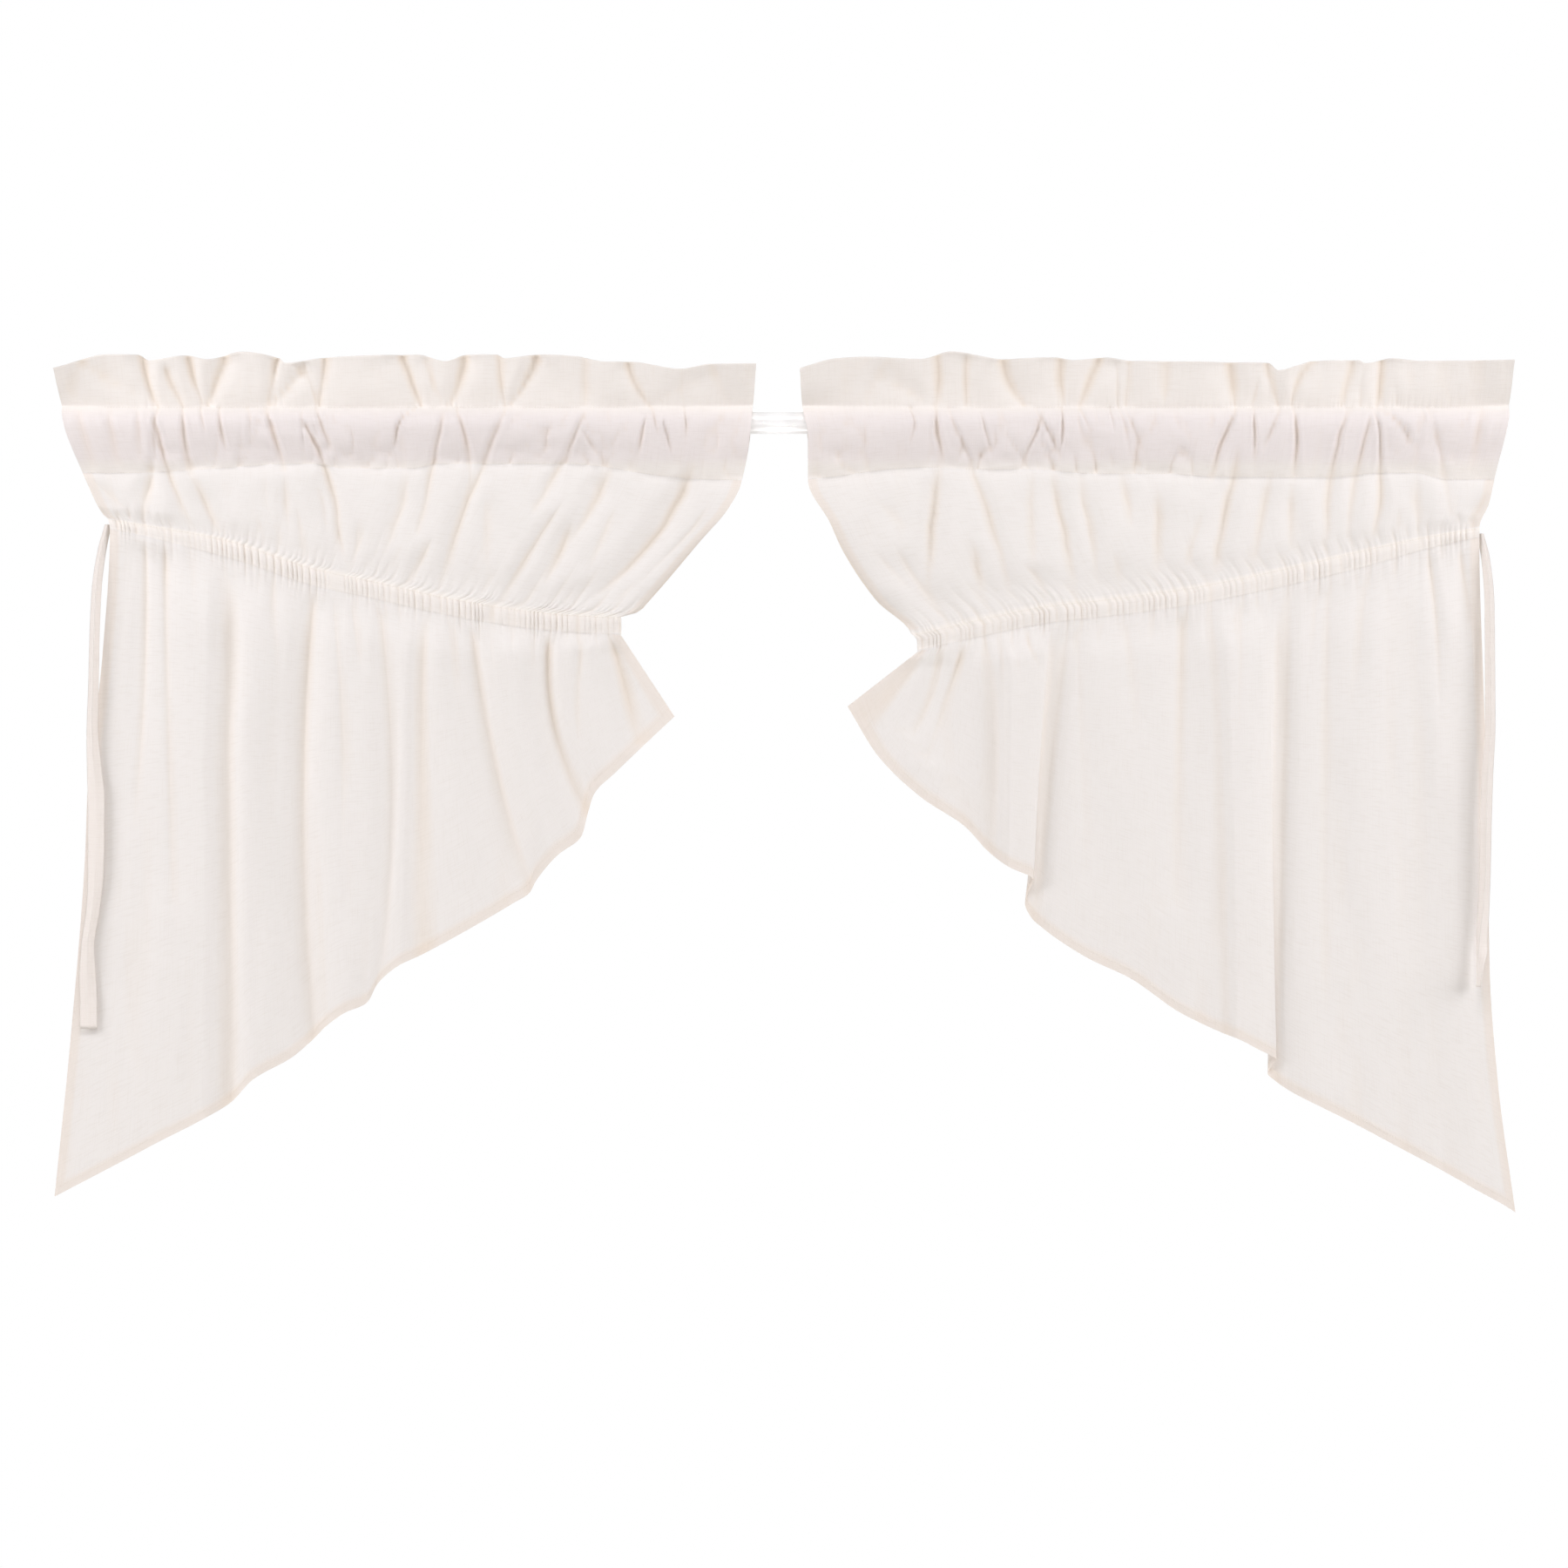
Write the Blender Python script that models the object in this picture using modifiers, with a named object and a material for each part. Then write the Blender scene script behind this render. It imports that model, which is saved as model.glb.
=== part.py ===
"""A pair of swag-and-tail curtains hanging from one plain rod.

Each panel is one piece of cloth. A heading stands above the rod, a pocket holds the rod, a swag
hangs below it, a drawstring casing gathers the cloth along a slanting line, and a tail falls
from there to a slanting hem. The cloth of the heading and pocket turns over at the top and comes
down the back to the pocket's lower seam.

Lengths in the tables are millimetres. "out" runs from the middle of the rod towards a panel's
outer side, "up" from the rod's axis, and "forward" from the plane through that axis to the room.
The model is in metres, with X to the right, Y to the back and Z up.
"""

import math
from collections import namedtuple

import bmesh
import bpy

MM = 0.001
NAME = "swag_curtain_pair"

# Driving sizes
CLOTH = 1.0  # thickness of a layer of cloth
LAYERS = 2.0  # between the middles of two layers that are sewn together
HEADING_LAYERS = 2.8  # the same at the top of the heading, where the ruffle is steep
ROD_RADIUS = 12.5
ROD_LENGTH = 1560.0
ROD_SIDES = 32
WRAP = 13.9  # from the rod's axis to the middle of the cloth that goes round it
STITCH_UP = 16.0  # the row of stitches between heading and pocket
CASING_HEIGHT = 20.0
CASING_END_HEIGHT = 11.0  # the casing is drawn tightest at its outer end
STRIP_BEHIND = 1.9  # the casing strip's middle behind the panel's, at its rows of stitches
STRIP_PUFF = 1.6  # how much further the strip stands off between them
TIE_WIDTH = 20.0
TIE_THICKNESS = 1.2

# Ruffles: how far the cloth stands forward between two gathers
HEADING_RUFFLE = 9.0
STITCH_RUFFLE = 3.0
POCKET_RUFFLE = 4.5
SWAG_RUFFLE = 9.0
CASING_FORWARD = 2.5
TAIL_FORMS_OVER = 0.16  # the share of a tail's length in which its folds reach full depth

COLUMNS = 42  # cells across a panel
SHORTEST_FOLD_WIDTH = 8.0  # a narrower fold would fall between two columns

Point = namedtuple("Point", "out up")
Edge = namedtuple("Edge", "row out")
Fold = namedtuple("Fold", "out up end_out end_up bow width depth")
Section = namedtuple("Section", "across hem_out hem_up forward")
Tape = namedtuple("Tape", "out up forward left_wing right_wing")
Panel = namedtuple("Panel", "name side top seam casing inner outer heading swag tail tie")

# Rows of a panel, counted down its front
TOP, STITCH, SEAM, CASING_TOP, CASING_FOOT, HEM = range(6)

LEFT = Panel(
    name="left",
    side=-1,
    # The heading's upper edge
    top=[Point(*p) for p in (
        (29, 62), (78, 62), (111, 57), (167, 65), (192, 65), (225, 71), (264, 73), (302, 69),
        (344, 73), (367, 66), (397, 73), (495, 70), (544, 64), (555, 73), (588, 76), (626, 68),
        (648, 72), (689, 67), (701, 73), (733, 73), (790, 57),
    )],
    # The pocket's lower seam
    seam=[Point(*p) for p in (
        (45, -64), (86, -63), (125, -60), (236, -46), (374, -46), (403, -51), (478, -51),
        (511, -46), (542, -46), (600, -50), (714, -56), (761, -56),
    )],
    # The middle of the drawstring casing
    casing=[Point(*p) for p in (
        (176, -222), (248, -218), (318, -209), (387, -196), (444, -183), (513, -168),
        (601, -139), (695, -118), (733, -111),
    )],
    inner=[Edge(*e) for e in (
        (0, 29), (1, 33), (2, 45), (2.19, 58), (2.45, 91), (2.89, 147), (2.96, 157), (3, 176),
        (4, 176), (5, 118),
    )],
    outer=[Edge(*e) for e in (
        (0, 790), (1, 783), (1.3, 779), (2, 761), (2.9, 739), (3, 734), (4, 732), (4.2, 741),
        (4.38, 756), (4.49, 759), (4.74, 773), (5, 792),
    )],
    # Folds of the heading, from its upper edge down to a gather in the row of stitches
    heading=[Fold(*f) for f in (
        (689, 71, 680, 16, 0, 9, 0.9), (648, 71, 634, 16, 0, 8, 0.8), (608, 75, 626, 16, 4, 10, 1.0),
        (544, 62, 556, 16, 0, 10, 1.0), (500, 70, 506, 16, 0, 12, 0.9), (414, 72, 394, 16, 0, 11, 0.9),
        (390, 68, 369, 16, 0, 9, 0.8), (347, 73, 363, 16, 0, 10, 0.9), (309, 70, 305, 16, 0, 9, 0.9),
        (267, 72, 299, 16, -6, 10, 0.8), (212, 68, 216, 16, 0, 12, 0.7), (168, 64, 146, 16, 4, 9, 0.8),
        (75, 58, 140, 16, -8, 14, 0.8),
    )],
    # Folds that run from the gathers through the pocket and down the swag
    swag=[Fold(*f) for f in (
        (676, 16, 694, -98, -4, 8, 1.0), (652, 16, 612, -122, -10, 8, 0.9),
        (562, 14, 542, -140, 0, 9, 0.8), (506, 16, 490, -150, 0, 9, 0.9),
        (394, 16, 420, -25, 6, 8, 0.8), (367, 12, 394, -112, 0, 9, 0.8),
        (354, 14, 343, -82, -6, 8, 0.9), (305, 10, 360, -140, 0, 9, 1.0),
        (216, 8, 280, -150, 0, 10, 0.7), (182, -30, 245, -206, 0, 12, 0.7),
        (146, 16, 132, -30, 0, 9, 0.8), (89, -30, 230, -202, -21, 13, 1.0),
    )],
    # Upright sections of the tail, from its inner to its outer side
    tail=[Section(*s) for s in (
        (0.00, 118, -320, 3), (0.03, 152, -352, 0), (0.08, 182, -381, 12), (0.12, 205, -404, 9),
        (0.14, 212, -424, 0), (0.17, 219, -450, 5), (0.22, 245, -471, 14), (0.27, 268, -498, 10),
        (0.29, 276, -512, 1), (0.32, 295, -524, 10), (0.36, 350, -556, 13), (0.385, 395, -579, 3),
        (0.42, 418, -591, 12), (0.46, 440, -610, 3), (0.50, 452, -631, 12), (0.55, 476, -642, 8),
        (0.58, 497, -657, 13), (0.61, 511, -671, 0), (0.65, 533, -690, 13), (0.72, 575, -714, 14),
        (0.765, 601, -740, 0), (0.81, 633, -759, 12), (0.87, 680, -783, 14), (0.91, 710, -799, 10),
        (0.95, 750, -820, 7), (1.00, 792, -842, 3),
    )],
    # The tie's middle from the casing's mouth to its free end, and the turn of its two halves
    tie=[Tape(*t) for t in (
        (735.0, -111, 3, 70, 70), (741, -140, 9, 62, 62), (746, -182, 14, 58, 58),
        (748, -230, 16, 57, 57), (749, -280, 17, 56, 56), (750, -330, 17, 56, 50),
        (748, -376, 16, 38, 34), (746, -410, 15, 14, 20), (746, -455, 14.5, 10, 22),
        (747, -490, 15, 12, 32), (750, -530, 17, 35, 45), (755, -572, 18, 48, 42),
        (755, -600, 16.5, 28, 22), (754, -632, 14, 8, 14), (754, -659, 13.5, 6, 10),
    )],
)

RIGHT = Panel(
    name="right",
    side=1,
    top=[Point(*p) for p in (
        (18, 57), (58, 68), (90, 70), (149, 68), (182, 76), (238, 68), (296, 70), (316, 67),
        (349, 70), (380, 66), (464, 65), (527, 64), (538, 56), (561, 62), (575, 66), (625, 67),
        (633, 64), (661, 69), (694, 66), (792, 66),
    )],
    seam=[Point(*p) for p in (
        (27, -63), (38, -62), (149, -50), (166, -50), (205, -52), (265, -52), (343, -57),
        (418, -57), (464, -60), (597, -61), (652, -56), (686, -56), (722, -63), (773, -63),
    )],
    casing=[Point(*p) for p in (
        (146, -240), (209, -225), (290, -209), (353, -202), (441, -190), (536, -171),
        (630, -149), (693, -133), (757, -120),
    )],
    inner=[Edge(*e) for e in (
        (0, 18), (1, 21), (1.4, 27), (2, 27), (2.28, 51), (2.45, 64), (2.78, 101), (3, 139),
        (3.4, 146), (4, 146), (5, 70),
    )],
    outer=[Edge(*e) for e in (
        (0, 792), (1, 788), (2, 773), (2.5, 767), (3, 757), (4, 757), (4.38, 765), (4.64, 768),
        (4.81, 777), (5, 796),
    )],
    heading=[Fold(*f) for f in (
        (164, 70, 166, 16, 0, 9, 1.0), (198, 70, 200, 16, 0, 8, 0.8), (237, 68, 264, 16, 0, 10, 0.8),
        (302, 60, 312, 16, 0, 9, 0.7), (344, 70, 322, 16, 3, 11, 1.0), (362, 66, 365, 16, 0, 7, 0.7),
        (484, 64, 493, 16, 0, 10, 0.8), (526, 62, 538, 16, 0, 11, 1.0), (555, 60, 552, 16, 0, 9, 0.9),
        (618, 66, 600, 16, 2, 9, 0.8), (651, 68, 647, 16, 0, 9, 1.0), (662, 40, 671, 16, 0, 8, 0.6),
    )],
    swag=[Fold(*f) for f in (
        (165, 16, 160, -150, 8, 9, 1.0), (178, 16, 231, -140, 0, 8, 0.9),
        (281, 8, 271, -150, 0, 9, 0.8), (303, 16, 312, -140, -4, 9, 0.9),
        (365, 14, 379, -112, 0, 9, 0.8), (491, 14, 469, -40, 2, 9, 0.9),
        (499, -10, 475, -145, 0, 9, 0.9), (538, 12, 511, -145, 0, 9, 0.8),
        (558, 14, 554, -140, 0, 9, 0.9), (611, 12, 582, -145, 0, 9, 0.8),
        (637, 16, 649, -114, 4, 8, 1.0), (701, 12, 723, -112, 4, 9, 0.8),
        (60, -90, 138, -218, -6, 13, 0.8),
    )],
    tail=[Section(*s) for s in (
        (0.00, 70, -309, 3), (0.03, 104, -364, 0), (0.07, 150, -408, 12), (0.10, 198, -440, 9),
        (0.12, 220, -464, 0), (0.15, 236, -477, 11), (0.19, 256, -488, 15), (0.225, 272, -497, 16),
        (0.24, 269, -513, 7), (0.26, 272, -530, -4), (0.29, 290, -549, 0), (0.34, 330, -575, 9),
        (0.40, 378, -605, 13), (0.46, 430, -641, 7), (0.52, 478, -664, 12), (0.58, 512, -678, 14),
        (0.625, 535, -693, 17), (0.64, 533, -703, 7), (0.66, 535, -714, -4), (0.69, 562, -731, 3),
        (0.73, 597, -750, 8), (0.76, 622, -763, 3), (0.81, 665, -786, 11), (0.87, 712, -811, 7),
        (0.93, 756, -836, 13), (0.97, 780, -849, 8), (1.00, 796, -859, 2),
    )],
    tie=[Tape(*t) for t in (
        (759.4, -121, 3, 70, 70), (764, -150, 12, 62, 62), (767, -200, 20, 58, 58),
        (767, -260, 24, 57, 57), (767, -327, 26, 56, 56), (764, -380, 27, 52, 52),
        (762, -430, 28, 50, 50), (761, -488, 28, 52, 52), (758, -530, 28, 62, 40),
        (754, -564, 28, 80, 20), (752, -590, 28, 95, -50), (751, -613, 28, 98, -72),
    )],
)


def eased(x):
    """0 before 0, 1 after 1 and a smooth rise between them."""
    x = min(max(x, 0.0), 1.0)
    return x * x * (3 - 2 * x)


def blend(a, b, share):
    return a + (b - a) * share


def along(rows, at, key=0, value=1):
    """A column of a table at a place between its rows, on a smooth curve that never overshoots."""
    keys = [r[key] for r in rows]
    values = [r[value] for r in rows]
    if at <= keys[0]:
        return values[0]
    if at >= keys[-1]:
        return values[-1]
    i = max(k for k in range(len(keys) - 1) if keys[k] <= at)
    steps = [keys[k + 1] - keys[k] for k in range(len(keys) - 1)]
    rises = [(values[k + 1] - values[k]) / steps[k] for k in range(len(steps))]

    def slope(k):
        if k in (0, len(keys) - 1):
            return rises[0] if k == 0 else rises[-1]
        before, after = rises[k - 1], rises[k]
        return 0.0 if before * after <= 0 else 2 * before * after / (before + after)

    t = (at - keys[i]) / steps[i]
    start = values[i] * (1 + 2 * t) * (1 - t) ** 2 + values[i + 1] * t * t * (3 - 2 * t)
    return start + steps[i] * (slope(i) * t * (1 - t) ** 2 - slope(i + 1) * t * t * (1 - t))


def gathered(folds, out, up):
    """How deep in a fold a place lies: 0 on the ruffle between folds, 1 at the bottom of one."""
    left_over = 1.0
    for f in folds:
        t = (up - f.up) / (f.end_up - f.up)
        inside = min(max(t, 0.0), 1.0)
        beyond = abs(t - inside) * abs(f.end_up - f.up)
        middle = blend(f.out, f.end_out, inside) + f.bow * 4 * inside * (1 - inside)
        width = max(f.width, SHORTEST_FOLD_WIDTH)
        share = f.depth * math.exp(-((out - middle) / width) ** 2 - (beyond / 14.0) ** 2)
        left_over *= 1 - min(share, 1.0)
    return 1 - left_over


def pocket_half(up, seam_up):
    """Half the pocket's depth from front to back: round the rod, then straight to the seam."""
    over = math.acos(WRAP / STITCH_UP)
    under = math.acos(WRAP / -seam_up)
    if up > WRAP * math.cos(over):
        return (STITCH_UP - up) / math.tan(over)
    if up < -WRAP * math.cos(under):
        return (up - seam_up) / math.tan(under)
    return math.sqrt(WRAP**2 - up**2)


def casing_half(across):
    return blend(CASING_HEIGHT, CASING_END_HEIGHT, eased((across - 0.75) / 0.25)) / 2


def rail_up(panel, row, across):
    """Height of a row of the panel, 0 at the top and 5 at the hem, at a place across it."""
    out = blend(along(panel.inner, row), along(panel.outer, row), across)
    if row == TOP:
        return along(panel.top, out)
    if row == STITCH:
        return STITCH_UP
    if row == SEAM:
        return along(panel.seam, out)
    if row == HEM:
        return along(panel.tail, across, 0, 2)
    half = casing_half(across)
    return along(panel.casing, out) + (half if row == CASING_TOP else -half)


def front(panel, row, across):
    """(out, up, forward) on the front layer at a row of the panel and a place across it."""
    above = max(math.ceil(row) - 1, TOP)
    share = row - above
    up = blend(rail_up(panel, above, across), rail_up(panel, above + 1, across), share)
    out = blend(along(panel.inner, row), along(panel.outer, row), across)
    if row <= STITCH:
        height = 1 - row
        ruffle = blend(STITCH_RUFFLE, HEADING_RUFFLE, height)
        layers = blend(LAYERS, HEADING_LAYERS, height)
        return out, up, ruffle * (1 - gathered(panel.heading, out, up)) + layers / 2
    fold = gathered(panel.swag, out, up)
    if row <= SEAM:
        ruffle = blend(STITCH_RUFFLE, POCKET_RUFFLE, eased(share * 3))
        swell = pocket_half(up, rail_up(panel, SEAM, across))
        return out, up, swell + ruffle * (1 - fold) + LAYERS / 2
    if row <= CASING_TOP:
        drawn = eased((share - 0.6) / 0.4)
        ruffle = blend(POCKET_RUFFLE, SWAG_RUFFLE, math.sin(math.pi * share) ** 0.7)
        return out, up, blend(ruffle * (1 - fold), CASING_FORWARD, drawn) + LAYERS / 2
    if row <= CASING_FOOT:
        return out, up, CASING_FORWARD + LAYERS / 2
    formed = eased(share / TAIL_FORMS_OVER)
    straight = blend(along(panel.inner, 4), along(panel.outer, 4), across)
    hem_out = along(panel.tail, across, 0, 1)
    side_line = blend(along(panel.outer, 4), along(panel.outer, 5), share)
    edge_bow = (along(panel.outer, row) - side_line) * eased((across - 0.6) / 0.4)
    fall = blend(CASING_FORWARD, along(panel.tail, across, 0, 3), formed)
    return blend(straight, hem_out, share) + edge_bow, up, fall + LAYERS / 2


def back(panel, row, across):
    """(out, up, forward) on the layer behind the heading and pocket."""
    out, up, forward = front(panel, row, across)
    if row <= STITCH:
        return out, up, forward - blend(LAYERS, HEADING_LAYERS, 1 - row)
    seam_up = rail_up(panel, SEAM, across)
    swell = pocket_half(up, seam_up)
    ruffle = forward - swell - LAYERS / 2
    follows = 1 - min(swell / (WRAP * 0.5), 1.0)  # sewn to the front, or free behind the rod
    return out, up, blend(-swell - LAYERS / 2, ruffle - LAYERS / 2 - swell, follows)


def pocket_rows(panel):
    """Rows down the pocket's front: where the cloth meets the rod, goes round it and leaves it."""
    heights = [WRAP * math.cos(math.radians(a)) for a in (34, 69, 104)] + [-30.0]
    seam_up = -55.0
    return [STITCH + (STITCH_UP - h) / (STITCH_UP - seam_up) for h in heights]


def sheet_rows(panel):
    """The cloth's path from the pocket's seam at the back, over the top and down to the hem."""
    pocket = pocket_rows(panel)
    behind = [SEAM, *reversed(pocket), STITCH, 0.5, TOP]
    before = [TOP, 0.5, STITCH, *pocket, SEAM, 2.34, 2.67, CASING_TOP, CASING_FOOT]
    tail = [CASING_FOOT + s for s in (0.08, 0.2, 0.45, 0.72, 1.0)]
    return [(back, r) for r in behind] + [(front, r) for r in before + tail]


def columns(panel):
    """Places across the panel: each section of the tail, and between those that lie far apart."""
    places = [s.across for s in panel.tail]
    while len(places) < COLUMNS + 1:
        widest = max(range(len(places) - 1), key=lambda i: places[i + 1] - places[i])
        places.insert(widest + 1, (places[widest] + places[widest + 1]) / 2)
    return places


def sheet(name, collection, colour, across, down, place, thickness):
    """A sheet of cloth: a grid laid out by place(i, j) in millimetres, then given its thickness."""
    bm = bmesh.new()
    bmesh.ops.create_grid(bm, x_segments=across, y_segments=down, size=0.5)
    for v in bm.verts:
        i, j = round((v.co.x + 0.5) * across), round((0.5 - v.co.y) * down)
        v.co = place(i, j)
    bmesh.ops.triangulate(bm, faces=bm.faces, quad_method="SHORT_EDGE")  # alike in both layers
    mesh = bpy.data.meshes.new(name)
    bm.to_mesh(mesh)
    bm.free()
    mesh.shade_smooth()
    piece = bpy.data.objects.new(name, mesh)
    collection.objects.link(piece)
    solid = piece.modifiers.new("thickness", "SOLIDIFY")
    solid.thickness = thickness * MM
    solid.offset = 0.0
    solid.use_even_offset = True
    finish(piece, name, colour, 0.9)
    return piece


def placed(panel, out, up, forward):
    return (panel.side * out * MM, -forward * MM, up * MM)


def ordered(panel, i, count):
    """Columns run left to right on both panels, so that both faces of a sheet look outward."""
    return count - i if panel.side < 0 else i


def build_panel(panel, collection):
    rows, places = sheet_rows(panel), columns(panel)

    def place(i, j):
        layer, row = rows[j]
        return placed(panel, *layer(panel, row, places[ordered(panel, i, COLUMNS)]))

    cream = (0.86, 0.82, 0.78)
    sheet(f"panel_{panel.name}", collection, cream, COLUMNS, len(rows) - 1, place, CLOTH)


def build_casing(panel, collection):
    """The strip behind the panel that holds the drawstring."""
    rows = (CASING_TOP + 0.08, CASING_TOP + 0.5, CASING_FOOT - 0.08)
    places = columns(panel)

    def place(i, j):
        out, up, forward = front(panel, rows[j], places[ordered(panel, i, COLUMNS)])
        behind = STRIP_BEHIND + (STRIP_PUFF if j == 1 else 0.0)
        return placed(panel, out, up, forward - behind)

    sheet(f"casing_{panel.name}", collection, (0.84, 0.79, 0.73), COLUMNS, 2, place, CLOTH)


def build_tie(panel, collection):
    """The drawstring's free end: a flat tape, creased along its middle, that turns as it hangs."""
    half = TIE_WIDTH / 2

    def place(i, j):
        t = panel.tie[j]
        i = ordered(panel, i, 2)
        turn = math.radians(t.left_wing if i == 0 else t.right_wing)
        inward = (half * math.cos(turn), 0.0, -half * math.cos(turn))[i]
        return placed(panel, t.out - inward, t.up, t.forward - abs(i - 1) * half * math.sin(turn))

    sheet(f"tie_{panel.name}", collection, (0.84, 0.8, 0.74), 2, len(panel.tie) - 1, place, TIE_THICKNESS)


def build_rod(collection):
    bm = bmesh.new()
    bmesh.ops.create_cone(
        bm,
        cap_ends=True,
        segments=ROD_SIDES,
        radius1=ROD_RADIUS * MM,
        radius2=ROD_RADIUS * MM,
        depth=ROD_LENGTH * MM,
    )
    mesh = bpy.data.meshes.new("rod")
    bm.to_mesh(mesh)
    bm.free()
    mesh.shade_smooth()
    mesh.set_sharp_from_angle(angle=math.radians(40))
    rod = bpy.data.objects.new("rod", mesh)
    rod.rotation_euler = (0.0, math.pi / 2, 0.0)
    collection.objects.link(rod)
    finish(rod, "rod", (0.9, 0.9, 0.89), 0.45)


def finish(piece, name, colour, roughness):
    material = bpy.data.materials.new(name)
    material.use_nodes = True
    shader = material.node_tree.nodes["Principled BSDF"]
    shader.inputs["Base Color"].default_value = (*colour, 1.0)
    shader.inputs["Roughness"].default_value = roughness
    shader.inputs["Metallic"].default_value = 0.0
    piece.data.materials.append(material)


def main():
    for o in list(bpy.data.objects):
        bpy.data.objects.remove(o, do_unlink=True)
    collection = bpy.data.collections.new(NAME)
    bpy.context.scene.collection.children.link(collection)
    build_rod(collection)
    for panel in (LEFT, RIGHT):
        build_panel(panel, collection)
        build_casing(panel, collection)
        build_tie(panel, collection)


main()
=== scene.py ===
"""A pair of swag-and-tail curtains on a white wooden rod, made to be looked at.

Lengths in the tables and in the named sizes are millimetres. "out" runs from the middle of the
rod towards a panel's outer side, "up" from the rod's axis, and "forward" from the plane through
that axis to the room.
"""

import math
from collections import namedtuple

import bpy
import numpy as np
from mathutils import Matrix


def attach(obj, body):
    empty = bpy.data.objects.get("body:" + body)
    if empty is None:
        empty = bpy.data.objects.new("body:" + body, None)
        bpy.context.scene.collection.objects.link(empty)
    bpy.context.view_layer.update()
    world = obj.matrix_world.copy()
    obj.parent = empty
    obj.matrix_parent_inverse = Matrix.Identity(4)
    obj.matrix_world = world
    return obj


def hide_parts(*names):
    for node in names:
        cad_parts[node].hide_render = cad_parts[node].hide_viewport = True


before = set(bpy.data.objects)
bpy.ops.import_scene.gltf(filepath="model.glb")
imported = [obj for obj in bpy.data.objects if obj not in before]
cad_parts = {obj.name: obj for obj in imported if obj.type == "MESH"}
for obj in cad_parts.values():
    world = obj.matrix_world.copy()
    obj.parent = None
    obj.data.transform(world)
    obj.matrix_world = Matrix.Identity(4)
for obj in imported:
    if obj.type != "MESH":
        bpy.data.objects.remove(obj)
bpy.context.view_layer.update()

MM = 0.001

# Cloth
CLOTH = 0.45  # one layer of the woven cotton
LAYERS = 2.0  # between the middles of two layers that are sewn together
HEADING_LAYERS = 2.8
CUT_WIDTH = 914.0  # a panel's cloth before it is gathered
GATHERED_TO = 0.64  # of its cut width
STITCH_UP = 16.0  # the row of stitches between heading and pocket
HEM_WIDTH = 10.0
HEM_SLANT = 0.85  # a slanting hem's width for each millimetre straight up from its edge
HEM_STEP = 0.35  # how far a hem stands in front of the cloth beside it

# Rod, casing, ties and thread
ROD_RADIUS = 12.5
ROD_LENGTH = 1560.0
ROD_EDGE = 0.8
WRAP = 13.9  # from the rod's axis to the middle of the cloth that goes round it
CASING_HEIGHT = 20.0
CASING_END_HEIGHT = 11.0  # at the outer side, where the drawstring comes out
STRIP_BEHIND = 2.6  # from the middle of the panel's cloth
STRIP_PUFF = 1.6
TIE_WIDTH = 20.0
TIE_THICKNESS = 1.0
STITCH_EVERY = 3.2
STITCH_LENGTH = 2.1
STITCH_DIP = 0.35  # how deep its ends sink
STITCH_FORWARD = 0.75
THREAD_RADIUS = 0.22

# How far the cloth stands forward between its creases
HEADING_RUFFLE = 15.0
STITCH_RUFFLE = 3.0
POCKET_RUFFLE = 7.5
SEAM_RUFFLE = 5.5
SWAG_RUFFLE = 14.0
CASING_FORWARD = 2.6
TAIL_RUFFLE = 6.5
TAIL_FORMS_OVER = 0.13  # of the tail's length

# Smaller unevenness
HEADING_DENTS = 1.3
POCKET_DENTS = 3.4
HEADING_NOD = 5.0
HEADING_NOD_MORE = 11.0  # at its upper edge
POCKET_NOD = 8.0
INNER_CURL = 11.0  # how far the swag's inner side turns back
CASING_PUFF = 1.05

COLUMNS = 700  # of places across a panel

# The rows of a panel, from its upper edge down
TOP, STITCH, SEAM, CASING_TOP, CASING_FOOT, HEM = range(6)

Point = namedtuple("Point", "out up")

# Where a panel's inner or outer side lies at a row, or part of the way to the next one
Edge = namedtuple("Edge", "row out")

# A crease from one place to another, bowed to one side; a full crease has a depth of 1, and a lean
# brings one of its sides forward
Crease = namedtuple("Crease", "out up end_out end_up bow width depth lean", defaults=(0.0,))

# The tail at a share of its width: where it meets the hem, and how far it stands forward and sways
Section = namedtuple("Section", "across hem_out hem_up forward sway", defaults=(0.0,))
HEM_OUT, HEM_UP, FORWARD, SWAY = range(1, 5)

# The middle of a tie, and how many degrees its two halves turn back from lying flat
Tape = namedtuple("Tape", "out up forward inner_turn outer_turn")

Panel = namedtuple("Panel", "name side top seam casing inner outer heading swag gathers tail tie")

# A line of places across the front layer, share of the way from one row of the panel to the next
Line = namedtuple("Line", "panel share across seed out up over under bent soft")

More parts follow.
